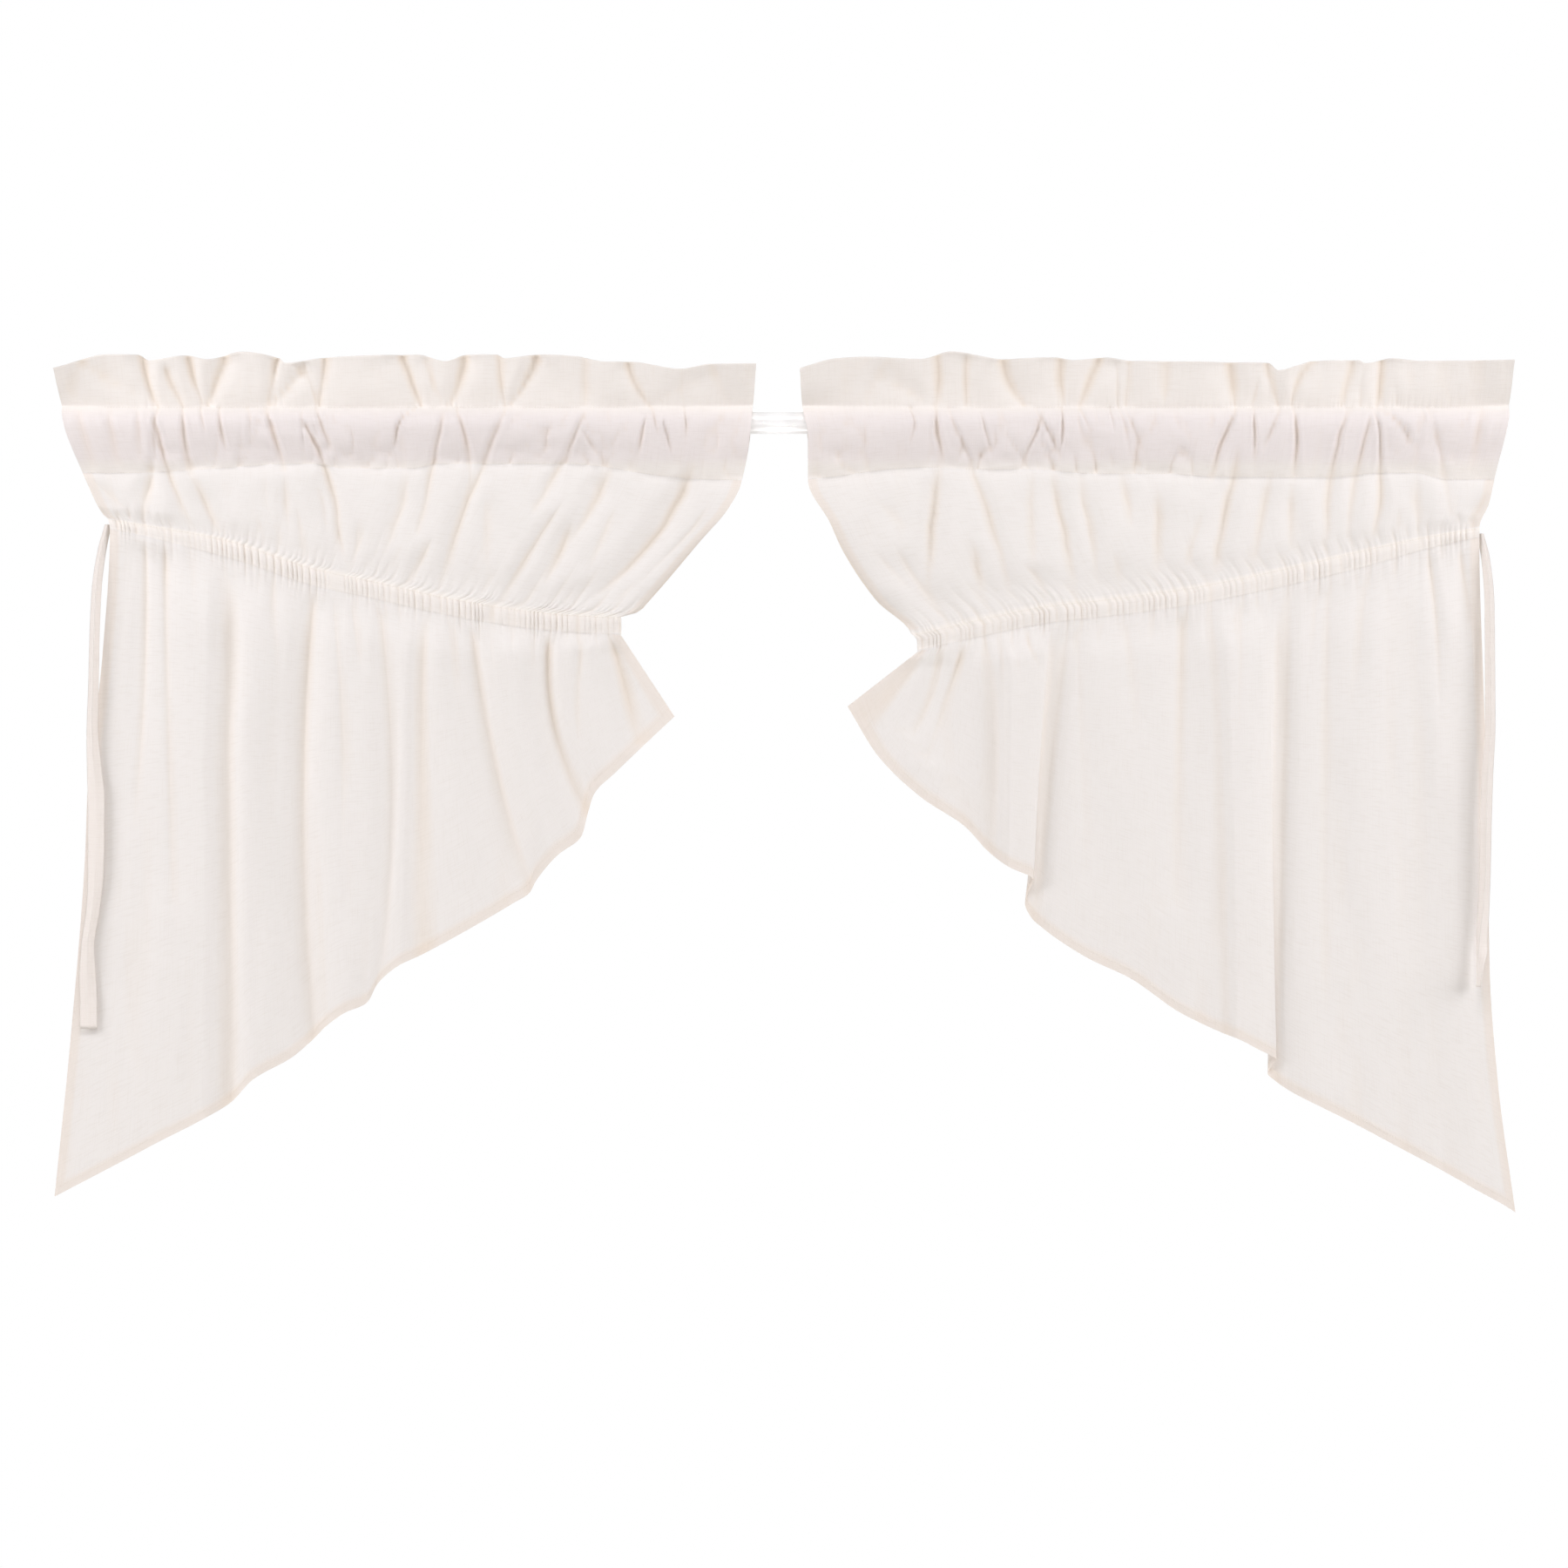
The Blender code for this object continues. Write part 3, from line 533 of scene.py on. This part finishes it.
FRONTS = {
    TOP: heading_front,
    STITCH: pocket_front,
    SEAM: swag_front,
    CASING_TOP: casing_front,
    CASING_FOOT: tail_front,
}


def front(panel, above, share, across, seed):
    """(out, up, forward) of the front layer, share of the way from the row above to the next."""
    over, under = rail_up(panel, above, across), rail_up(panel, above + 1, across)
    up = blend(over, under, share)
    out = blend(along(panel.inner, above + share), along(panel.outer, above + share), across)
    soft = uneven(out, up, 46, 60, seed) + 0.5 * uneven(out, up, 19, 42, seed + 1)
    bent = out + 1.6 * uneven(up, out, 27, 40, seed + 12) + 0.5 * uneven(up, out, 11, 25, seed + 13)
    return FRONTS[above](Line(panel, share, across, seed, out, up, over, under, bent, soft))


def back(panel, above, share, across, seed):
    """(out, up, forward) of the layer behind the heading and pocket."""
    out, up, forward = front(panel, above, share, across, seed)
    if above == TOP:
        return out, up, forward - blend(LAYERS, HEADING_LAYERS, 1 - share)
    swell = pocket_half(up, rail_up(panel, SEAM, across))
    ruffle = forward - swell - LAYERS / 2
    follows = 1 - np.clip(swell / (WRAP * 0.5), 0, 1)  # sewn to the front, or free behind the rod
    return out, up, blend(-swell - LAYERS / 2 - 0.5 * ruffle, ruffle - LAYERS / 2 - swell, follows)


def cloth_rows(panel, across):
    """The cloth's path from the pocket's seam at the back, over the top and down to the hem."""
    heading = (0, 0.035, 0.12, 0.25, 0.4, 0.55, 0.7, 0.83, 0.92, 0.97)
    pocket = (0, 0.04, 0.1, 0.17, 0.25, 0.34, 0.43, 0.52, 0.6, 0.68, 0.76, 0.84, 0.92, 0.97)
    rows = [(back, STITCH, 1.0)] + [(back, STITCH, s) for s in reversed(pocket[2::2])]
    rows += [(back, STITCH, 0.0)] + [(back, TOP, s) for s in reversed(heading)]
    rows += [(front, TOP, s) for s in heading] + [(front, STITCH, s) for s in pocket]
    rows += [(front, SEAM, s) for s in np.linspace(0, 1, 31)[:-1]]
    rows += [(front, CASING_TOP, s) for s in np.linspace(0, 1, 8)[:-1]]
    length = rail_up(panel, CASING_FOOT, across) - rail_up(panel, HEM, across)
    last = 1 - 16 / length
    rows += [(front, CASING_FOOT, last * s**1.25) for s in np.linspace(0, 1, 40)]
    rows += [(front, CASING_FOOT, 1 - d / length) for d in (HEM_WIDTH + 2.5, HEM_WIDTH + 1, 7, 3, 0)]
    return rows


def tone(panel, above, out, up, across):
    """-1 in a hem, 0 in single cloth, 1 in double cloth, and 2 in double cloth before the rod. The
    cloth's painted light and shade follow these values.
    """
    if above == STITCH:
        return 1 + eased((STITCH_UP + 2 - up) / 15) * eased((50 + up) / 13)
    if above in (TOP, CASING_TOP):
        return np.ones_like(out)
    inside = to_side(out)
    if above == CASING_FOOT:
        inside = np.minimum(inside, (up - rail_up(panel, HEM, across)) * HEM_SLANT)
    return -eased((HEM_WIDTH + 3.0 - inside) / 6.0)


def mesh_piece(name, vertices, faces):
    """A new smooth piece, whose place is in its mesh."""
    mesh = bpy.data.meshes.new(name)
    mesh.from_pydata(vertices, [], faces)
    mesh.update()
    mesh.shade_smooth()
    piece = bpy.data.objects.new(name, mesh)
    bpy.context.scene.collection.objects.link(piece)
    return piece


def grid_faces(rows, columns):
    """The four-sided faces of a grid of places."""
    j, i = np.meshgrid(np.arange(rows - 1), np.arange(columns - 1), indexing="ij")
    a = (j * columns + i).ravel()
    return np.stack([a, a + columns, a + columns + 1, a + 1], axis=1).tolist()


def folds(points):
    """From 0 to 1, how far each place lies behind the cloth beside it in its row; the cloth paints shade
    in its folds by it.
    """
    forward = -points[..., 1] / MM
    reach = 14  # columns to each side
    deepest = 3.5
    padded = np.pad(forward, ((0, 0), (reach, reach)), mode="edge")
    run = np.cumsum(np.pad(padded, ((0, 0), (1, 0))), axis=1)
    beside = (run[:, 2 * reach + 1 :] - run[:, : -2 * reach - 1]) / (2 * reach + 1)
    return np.clip((beside - forward) / deepest, 0, 1)


def woven_piece(name, side, points, weave, layers, thickness=0.0):
    """A sheet from a grid of points in metres, with its place in the weave and its layers.

    Without a thickness it stays one surface, which also knows how deep in a fold each place is, for the
    painted shade in folds.
    """
    if side < 0:
        points, weave, layers = points[:, ::-1], weave[:, ::-1], layers[:, ::-1]
    rows, columns = points.shape[:2]
    piece = mesh_piece(name, points.reshape(-1, 3).tolist(), grid_faces(rows, columns))
    mesh = piece.data
    corner = np.zeros(len(mesh.loops), dtype=np.int32)
    mesh.loops.foreach_get("vertex_index", corner)
    uv = mesh.uv_layers.new(name="weave")
    uv.data.foreach_set("uv", weave.reshape(-1, 2)[corner].ravel())
    attribute = mesh.attributes.new("layers", "FLOAT", "POINT")
    attribute.data.foreach_set("value", layers.ravel().astype(np.float32))
    if thickness:
        solid = piece.modifiers.new("thickness", "SOLIDIFY")
        solid.thickness = thickness * MM
        solid.offset = 0.0
    else:
        attribute = mesh.attributes.new("fold", "FLOAT", "POINT")
        attribute.data.foreach_set("value", folds(points).ravel().astype(np.float32))
    return piece


def placed(panel, out, up, forward):
    """Points in metres, from millimetres out, up and forward on the panel's side of the rod."""
    return np.stack([panel.side * out, -forward, up], axis=-1) * MM


def weave_places(points, across_mm):
    """Each place in the flat cloth, in metres: across it, and down it along the cloth's path."""
    steps = np.linalg.norm(np.diff(points, axis=0), axis=2).mean(axis=1)
    down = np.concatenate([[0.0], np.cumsum(steps)])
    weave = np.zeros((*points.shape[:2], 2))
    weave[..., 0] = across_mm * MM
    weave[..., 1] = down[:, None]
    return weave


def make_panel(panel, seed, cloth):
    """One drape, in one cloth, from the pocket's back layer to the hem."""
    across = np.linspace(0, 1, COLUMNS)
    grid, layers = [], []
    for layer, above, share in cloth_rows(panel, across):
        share = np.broadcast_to(np.asarray(share, float), across.shape)
        out, up, forward = layer(panel, above, share, across, seed)
        grid.append(placed(panel, out, up, forward))
        layers.append(tone(panel, above, out, up, across))
    points = np.array(grid)
    weave = weave_places(points, across * CUT_WIDTH)
    piece = woven_piece(f"drape_{panel.name}", panel.side, points, weave, np.array(layers))
    piece.data.materials.append(cloth)
    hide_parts(f"panel_{panel.name}")
    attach(piece, "root")


def make_strip(panel, seed, cloth):
    """The casing's strip on the back, which the drawstring runs in."""
    across = np.linspace(0, 1, COLUMNS)
    first, last = 0.08, 0.92  # its sewn edges, as shares of the casing's height
    grid = []
    for s in (first, 0.12, 0.3, 0.5, 0.7, 0.88, last):
        out, up, forward = front(panel, CASING_TOP, np.full_like(across, s), across, seed)
        puff = STRIP_PUFF * math.sin(math.pi * (s - first) / (last - first))
        gathers = 0.8 * puckers(across, 6.5, seed + 31)
        grid.append(placed(panel, out, up, forward - STRIP_BEHIND - puff - gathers))
    points = np.array(grid)
    weave = weave_places(points, across * CUT_WIDTH)
    # painted shade: the strip behind the cloth is coloured a little darker than double cloth
    layers = np.full(points.shape[:2], 1.6)  # a little darker than double cloth
    name = f"casing_strip_{panel.name}"
    piece = woven_piece(name, panel.side, points, weave, layers, CLOTH)
    piece.data.materials.append(cloth)
    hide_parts(f"casing_{panel.name}")
    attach(piece, "root")


def make_tie(panel, seed, cloth):
    """The drawstring's free end: a pressed tape that opens and folds as it hangs."""
    place = np.linspace(0, 1, 90)
    rows = [(k, *t) for k, t in zip(np.linspace(0, 1, len(panel.tie)), panel.tie)]
    out, up, forward, inner, outer = (along(rows, place, column) for column in range(1, 6))
    half = TIE_WIDTH / 2
    middle_round = 0.004  # how softly the two halves meet in the fold
    sides = np.linspace(-1, 1, 13)
    grid = []
    for w in sides:
        turn = np.radians(inner if w < 0 else outer)
        reach = math.sqrt(w * w + middle_round) - math.sqrt(middle_round)
        wave = 0.35 * uneven(up, up * 0 + 30 * w, 13, 9, seed)
        o = out + math.copysign(reach, w) * half * np.cos(turn)
        f = forward - reach * half * np.sin(turn) + wave * abs(w)
        grid.append(placed(panel, o, up + 0 * o, f))
    points = np.array(grid).transpose(1, 0, 2)
    # the tape's weave starts two metres along, so its slubs aren't the panel's
    weave = weave_places(points, sides * half + 2000)
    layers = np.full(points.shape[:2], 1.0)
    piece = woven_piece(f"tape_{panel.name}", panel.side, points, weave, layers, TIE_THICKNESS)
    piece.data.materials.append(cloth)
    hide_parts(f"tie_{panel.name}")
    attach(piece, "root")
    path = [placed(panel, o, u, f).tolist() for o, u, f in zip(out[::3], up[::3], forward[::3])]
    path.append(placed(panel, out[-1], up[-1], forward[-1]).tolist())


def make_stitches(panel, seed, thread):
    """Rows of straight stitches: heading, pocket's seam, both sides of the casing, and the hem."""
    across = np.linspace(0, 1, COLUMNS)
    length = rail_up(panel, CASING_FOOT, across) - rail_up(panel, HEM, across)
    lines = [(TOP, 0.995), (STITCH, 0.985), (CASING_TOP, 0.05), (CASING_TOP, 0.95)]
    lines += [(CASING_FOOT, 1 - (HEM_WIDTH - 1) / length)]
    start, stop = 4 * MM, 5 * MM  # from the panel's two sides
    vertices, faces = [], []
    for above, share in lines:
        share = np.broadcast_to(np.asarray(share, float), across.shape)
        out, up, forward = front(panel, above, share, across, seed)
        line = placed(panel, out, up, forward + STITCH_FORWARD)
        run = np.concatenate([[0.0], np.cumsum(np.linalg.norm(np.diff(line, axis=0), axis=1))])
        for s in np.arange(start, run[-1] - stop, STITCH_EVERY * MM):
            ends = (s, s + STITCH_LENGTH * MM)
            a, b = (np.array([np.interp(x, run, line[:, k]) for k in range(3)]) for x in ends)
            add_stitch(vertices, faces, a, b)
    piece = mesh_piece(f"stitches_{panel.name}", vertices, faces)
    piece.data.materials.append(thread)
    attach(piece, "root")


def add_stitch(vertices, faces, a, b):
    """One stitch: a short thread that dips into the cloth at both ends."""
    run = (b - a) / np.linalg.norm(b - a)
    side = np.cross(run, (0.0, -1.0, 0.0))
    side = side / np.linalg.norm(side)
    outward = np.cross(side, run)
    middle, shoulder = (a + b) / 2, 0.2 * (b - a)
    # centre, height above the cloth and radius, all round a thread of five sides
    rings = (
        (a, -STITCH_DIP, 0.05),
        (middle - shoulder, 0.05, THREAD_RADIUS),
        (middle + shoulder, 0.05, THREAD_RADIUS),
        (b, -STITCH_DIP, 0.05),
    )
    sides = 5
    first = len(vertices)
    for centre, lift, radius in rings:
        for k in range(sides):
            turn = 2 * math.pi * k / sides
            rise, aside = lift + radius * math.cos(turn), radius * math.sin(turn)
            vertices.append((centre + (outward * rise + side * aside) * MM).tolist())
    for ring in range(len(rings) - 1):
        for k in range(sides):
            p, q = first + ring * sides + k, first + ring * sides + (k + 1) % sides
            faces.append((p, q, q + sides, p + sides))
    final = first + (len(rings) - 1) * sides
    faces.append(tuple(first + k for k in reversed(range(sides))))
    faces.append(tuple(final + k for k in range(sides)))


def make_rod(paint):
    """A plain dowel with softened ends."""
    bpy.ops.object.select_all(action="DESELECT")
    bpy.ops.mesh.primitive_cylinder_add(
        vertices=96,
        radius=ROD_RADIUS * MM,
        depth=ROD_LENGTH * MM,
        rotation=(0.0, math.pi / 2, 0.0),
    )
    rod = bpy.context.object
    rod.name = "painted_rod"
    bpy.ops.object.transform_apply(location=True, rotation=True, scale=True)
    edge = rod.modifiers.new("softened ends", "BEVEL")
    edge.width = ROD_EDGE * MM
    edge.segments = 3
    edge.limit_method = "ANGLE"
    bpy.ops.object.modifier_apply(modifier=edge.name)
    bpy.ops.object.shade_smooth_by_angle(angle=math.radians(35))
    rod.data.materials.append(paint)
    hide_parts("rod")
    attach(rod, "root")


# ---------------------------------------------------------------- materials


def shade(code):
    """A colour as hex, turned from sRGB to linear."""
    parts = [int(code[i : i + 2], 16) / 255 for i in (1, 3, 5)]
    return (*(c / 12.92 if c <= 0.04045 else ((c + 0.055) / 1.055) ** 2.4 for c in parts), 1.0)


def node(owner, kind, inputs=None, **settings):
    """Adds a node with its settings; an input is a value, or another node's output to link."""
    made = owner.node_tree.nodes.new(kind)
    for key, value in settings.items():
        setattr(made, key, value)
    for key, value in (inputs or {}).items():
        if isinstance(value, bpy.types.NodeSocket):
            owner.node_tree.links.new(value, made.inputs[key])
        else:
            made.inputs[key].default_value = value
    return made


def new_material(name):
    material = bpy.data.materials.new(name)
    material.use_nodes = True
    material.node_tree.nodes.clear()
    return material


def woven_cotton(name, hem_shade, single, double, rod_shade, through, share_through):
    """Off-white plain-woven cotton. Slubs in the weft give it faint level streaks, and light comes
    through it. Painted light: two layers are coloured warmer than one for the light that comes through
    them, two with the rod behind them are coloured darker as the rod's painted shade, a pressed hem is
    coloured creamier as the painted shade of its layers, and cloth deep in a fold is coloured warmer as
    painted shade."""
    m = new_material(name)
    place = node(m, "ShaderNodeUVMap", uv_map="weave").outputs["UV"]

    def streaks(across_mm, down_mm, detail):
        scale = (1000 / across_mm, 1000 / down_mm, 1.0)
        scaled = node(m, "ShaderNodeMapping", {"Vector": place, "Scale": scale}).outputs["Vector"]
        made = node(
            m,
            "ShaderNodeTexNoise",
            {"Vector": scaled, "Scale": 1.0, "Detail": detail, "Roughness": 0.6},
            noise_dimensions="2D",
        )
        return made.outputs["Fac"]

    # the real yarns lie 0.4 mm apart, too fine to show, so they are drawn 1.3 to 2.2 mm apart
    slubs = streaks(26.0, 1.3, 2.0)
    ends = streaks(1.3, 34.0, 2.0)
    threads = streaks(2.2, 2.2, 3.0)
    layers = node(m, "ShaderNodeAttribute", attribute_name="layers").outputs["Fac"]
    fold = node(m, "ShaderNodeAttribute", attribute_name="fold").outputs["Fac"]
    # each tone comes in as a value goes from the first number to the second, up to a largest share
    tones = (
        # painted light: two layers coloured warmer and lighter than one, for the light that comes through
        # them
        ("MIX", layers, 0.0, 1.0, 1.0, double),
        # painted shade: double cloth with the rod behind it coloured darker, for the rod blocking light
        # from behind
        ("MIX", layers, 1.0, 2.0, 1.0, rod_shade),
        # painted shade: a hem coloured darker and creamier, for the light its layers hold back
        ("MIX", layers, 0.0, -1.0, 1.0, hem_shade),
        # painted shade: cloth deep in a fold coloured warmer and darker
        ("MULTIPLY", fold, 0.0, 1.0, 1.0, "#fcf6ee"),
        ("MULTIPLY", slubs, 0.5, 0.72, 0.22, "#f1eeea"),
        ("MULTIPLY", ends, 0.52, 0.74, 0.2, "#f3f0ec"),
    )
    colour = shade(single)
    for kind, value, nothing, full, most, code in tones:
        share = node(m, "ShaderNodeMapRange", {0: value, 1: nothing, 2: full, 3: 0.0, 4: most})
        mix = node(
            m,
            "ShaderNodeMix",
            {0: share.outputs[0], 6: colour, 7: shade(code)},
            data_type="RGBA",
            blend_type=kind,
        )
        colour = mix.outputs[2]
    relief = node(m, "ShaderNodeMath", {0: slubs, 1: ends}, operation="ADD")
    relief = node(m, "ShaderNodeMath", {0: relief.outputs[0], 1: threads}, operation="ADD")
    bump = node(
        m,
        "ShaderNodeBump",
        {"Height": relief.outputs[0], "Strength": 0.35, "Distance": 0.3 * MM},
    )
    cloth = node(
        m,
        "ShaderNodeBsdfPrincipled",
        {
            "Base Color": colour,
            "Roughness": 0.92,
            "Specular IOR Level": 0.2,
            "Sheen Weight": 0.12,
            "Sheen Roughness": 0.5,
            "Normal": bump.outputs["Normal"],
        },
    )
    lit_through = node(
        m,
        "ShaderNodeMix",
        {0: 1.0, 6: colour, 7: shade(through)},
        data_type="RGBA",
        blend_type="MULTIPLY",
    )
    glow = node(
        m,
        "ShaderNodeBsdfTranslucent",
        {"Color": lit_through.outputs[2], "Normal": bump.outputs["Normal"]},
    )
    both = node(
        m,
        "ShaderNodeMixShader",
        {0: share_through, 1: cloth.outputs[0], 2: glow.outputs[0]},
    )
    node(m, "ShaderNodeOutputMaterial", {"Surface": both.outputs[0]})
    return m


def painted_wood(name):
    """Softwood dowel under gloss white paint: brush marks run along it and soften its shine."""
    m = new_material(name)
    place = node(m, "ShaderNodeTexCoord").outputs["Object"]
    # marks about 80 mm long and 1.1 mm wide
    scaled = node(m, "ShaderNodeMapping", {"Vector": place, "Scale": (12.0, 900.0, 900.0)})
    brush = node(
        m,
        "ShaderNodeTexNoise",
        {"Vector": scaled.outputs["Vector"], "Scale": 1.0, "Detail": 3.0},
    ).outputs["Fac"]
    tint = node(
        m,
        "ShaderNodeMix",
        {0: brush, 6: shade("#ffffff"), 7: shade("#fcfcfb")},
        data_type="RGBA",
    )
    bump = node(
        m,
        "ShaderNodeBump",
        {"Height": brush, "Strength": 0.15, "Distance": 0.2 * MM},
    )
    gloss = node(
        m,
        "ShaderNodeBsdfPrincipled",
        {
            "Base Color": tint.outputs[2],
            "Roughness": 0.3,
            "Specular IOR Level": 0.9,
            "Normal": bump.outputs["Normal"],
        },
    )
    node(m, "ShaderNodeOutputMaterial", {"Surface": gloss.outputs[0]})
    return m


def cotton_thread(name):
    """Matt cotton sewing thread, a touch warmer than the cloth, mottled by its twist."""
    m = new_material(name)
    place = node(m, "ShaderNodeTexCoord").outputs["Object"]
    # the twist comes round every 0.4 mm
    twist = node(m, "ShaderNodeTexNoise", {"Vector": place, "Scale": 2500.0, "Detail": 1.0})
    tint = node(
        m,
        "ShaderNodeMix",
        {0: twist.outputs["Fac"], 6: shade("#f1ebe2"), 7: shade("#e6ded2")},
        data_type="RGBA",
    )
    matt = node(m, "ShaderNodeBsdfPrincipled", {"Base Color": tint.outputs[2], "Roughness": 0.85})
    node(m, "ShaderNodeOutputMaterial", {"Surface": matt.outputs[0]})
    return m


# ---------------------------------------------------------------- camera, light and floor


def aim(thing, target):
    """Turns a light towards a target, with its sides level."""
    place = np.array(target, float) - np.array(thing.location)
    level = math.hypot(place[0], place[1])
    tilt = math.pi / 2 + math.atan2(place[2], level)
    thing.rotation_euler = (tilt, 0.0, math.atan2(-place[0], place[1]))


def make_camera():
    """A camera straight in front of the drapes, level with their middle."""
    data = bpy.data.cameras.new("camera")
    camera = bpy.data.objects.new("camera", data)
    bpy.context.scene.collection.objects.link(camera)
    distance, width = 6.0, 1.706  # from the rod, and across the view there
    camera.location = (0.001, -distance, -0.3934)
    camera.rotation_euler = (math.pi / 2, 0.0, 0.0)
    data.angle = 2 * math.atan(width / 2 / distance)
    bpy.context.scene.camera = camera


def soft_light(name, place, target, size, power, colour="#ffffff", spread=180):
    """A rectangular light; a narrow spread, in degrees, makes it a beam."""
    data = bpy.data.lights.new(name, "AREA")
    data.shape = "RECTANGLE"
    data.size, data.size_y = size
    data.energy = power
    data.spread = math.radians(spread)
    data.color = shade(colour)[:3]
    light = bpy.data.objects.new(name, data)
    light.location = place
    aim(light, target)
    bpy.context.scene.collection.objects.link(light)


def make_world():
    """A ground that looks white but lights the cloth only faintly."""
    world = bpy.data.worlds.new("white studio")
    bpy.context.scene.world = world
    world.use_nodes = True
    world.node_tree.nodes.clear()
    seen = node(world, "ShaderNodeLightPath").outputs
    fill = node(world, "ShaderNodeBackground", {"Color": shade("#fffaf0"), "Strength": 0.235})
    white = node(world, "ShaderNodeBackground", {"Color": shade("#ffffff"), "Strength": 1.0})
    either = node(
        world,
        "ShaderNodeMath",
        {0: seen["Is Camera Ray"], 1: seen["Is Glossy Ray"]},
        operation="ADD",
    )
    choose = node(
        world,
        "ShaderNodeMixShader",
        {0: either.outputs[0], 1: fill.outputs[0], 2: white.outputs[0]},
    )
    node(world, "ShaderNodeOutputWorld", {"Surface": choose.outputs[0]})


def make_lights():
    cool = "#faf9fd"
    soft_light("right light", (2.8, -1.25, 0.6), (0.5, 0.0, -0.15), (1.5, 1.8), 49.5, cool)
    soft_light("left light", (-2.8, -1.25, 0.6), (-0.5, 0.0, -0.15), (1.5, 1.8), 48, cool)
    soft_light("top light", (-0.2, -2.4, 2.2), (0.0, 0.0, -0.4), (1.8, 1.0), 44.5, cool)
    soft_light("low light", (0.0, -4.2, -1.3), (0.0, 0.0, -0.1), (2.5, 1.2), 17.5, cool)
    # two narrow beams, one from below and one from the front, so that the rod between the drapes
    # is nearly as white as the ground
    soft_light("rod light", (0.0, -0.05, -1.3), (0.0, -0.01, 0.0), (0.03, 0.03), 0.0028, cool, 4.5)
    soft_light("gap light", (-0.006, -1.5, 0.0), (-0.006, 0.0, 0.0), (0.012, 0.012), 0.0018, cool, 2.2)
    soft_light("back light", (0.0, 3.0, 1.2), (0.0, 0.0, -0.4), (2.5, 1.5), 60)


def make_floor():
    bpy.ops.object.select_all(action="DESELECT")
    bpy.ops.mesh.primitive_plane_add(size=1.0, location=(0.0, -0.5, -1.35))
    floor = bpy.context.object
    floor.name = "floor"
    floor.scale = (3.2, 2.2, 1.0)
    bpy.ops.object.transform_apply(location=True, rotation=True, scale=True)
    pale = new_material("pale floor")
    matt = node(pale, "ShaderNodeBsdfPrincipled", {"Base Color": shade("#f2f1ee"), "Roughness": 0.8})
    node(pale, "ShaderNodeOutputMaterial", {"Surface": matt.outputs[0]})
    floor.data.materials.append(pale)


bpy.context.scene.view_settings.view_transform = "Standard"
make_camera()
make_world()
make_lights()
make_floor()
COTTON = woven_cotton(
    "woven cotton",
    # the hem, double and rod colours are painted light and shade of the cloth's layers; single is its own
    # colour
    hem_shade="#f1eae4",
    single="#f2efed",
    double="#f9f5f1",
    rod_shade="#f6f0ef",
    through="#fff4e6",
    share_through=0.14,
)
TAPE = woven_cotton(
    "cotton tape",
    hem_shade="#f5eee8",
    single="#f5eee8",
    double="#f5eee8",
    rod_shade="#f5eee8",
    through="#fff8ee",
    share_through=0.06,
)
THREAD = cotton_thread("cotton thread")
for side_panel, side_seed in ((LEFT, 100), (RIGHT, 300)):
    make_tie(side_panel, side_seed + 50, TAPE)
    make_panel(side_panel, side_seed, COTTON)
    make_strip(side_panel, side_seed, COTTON)
    make_stitches(side_panel, side_seed, THREAD)
make_rod(painted_wood("white-painted wood"))
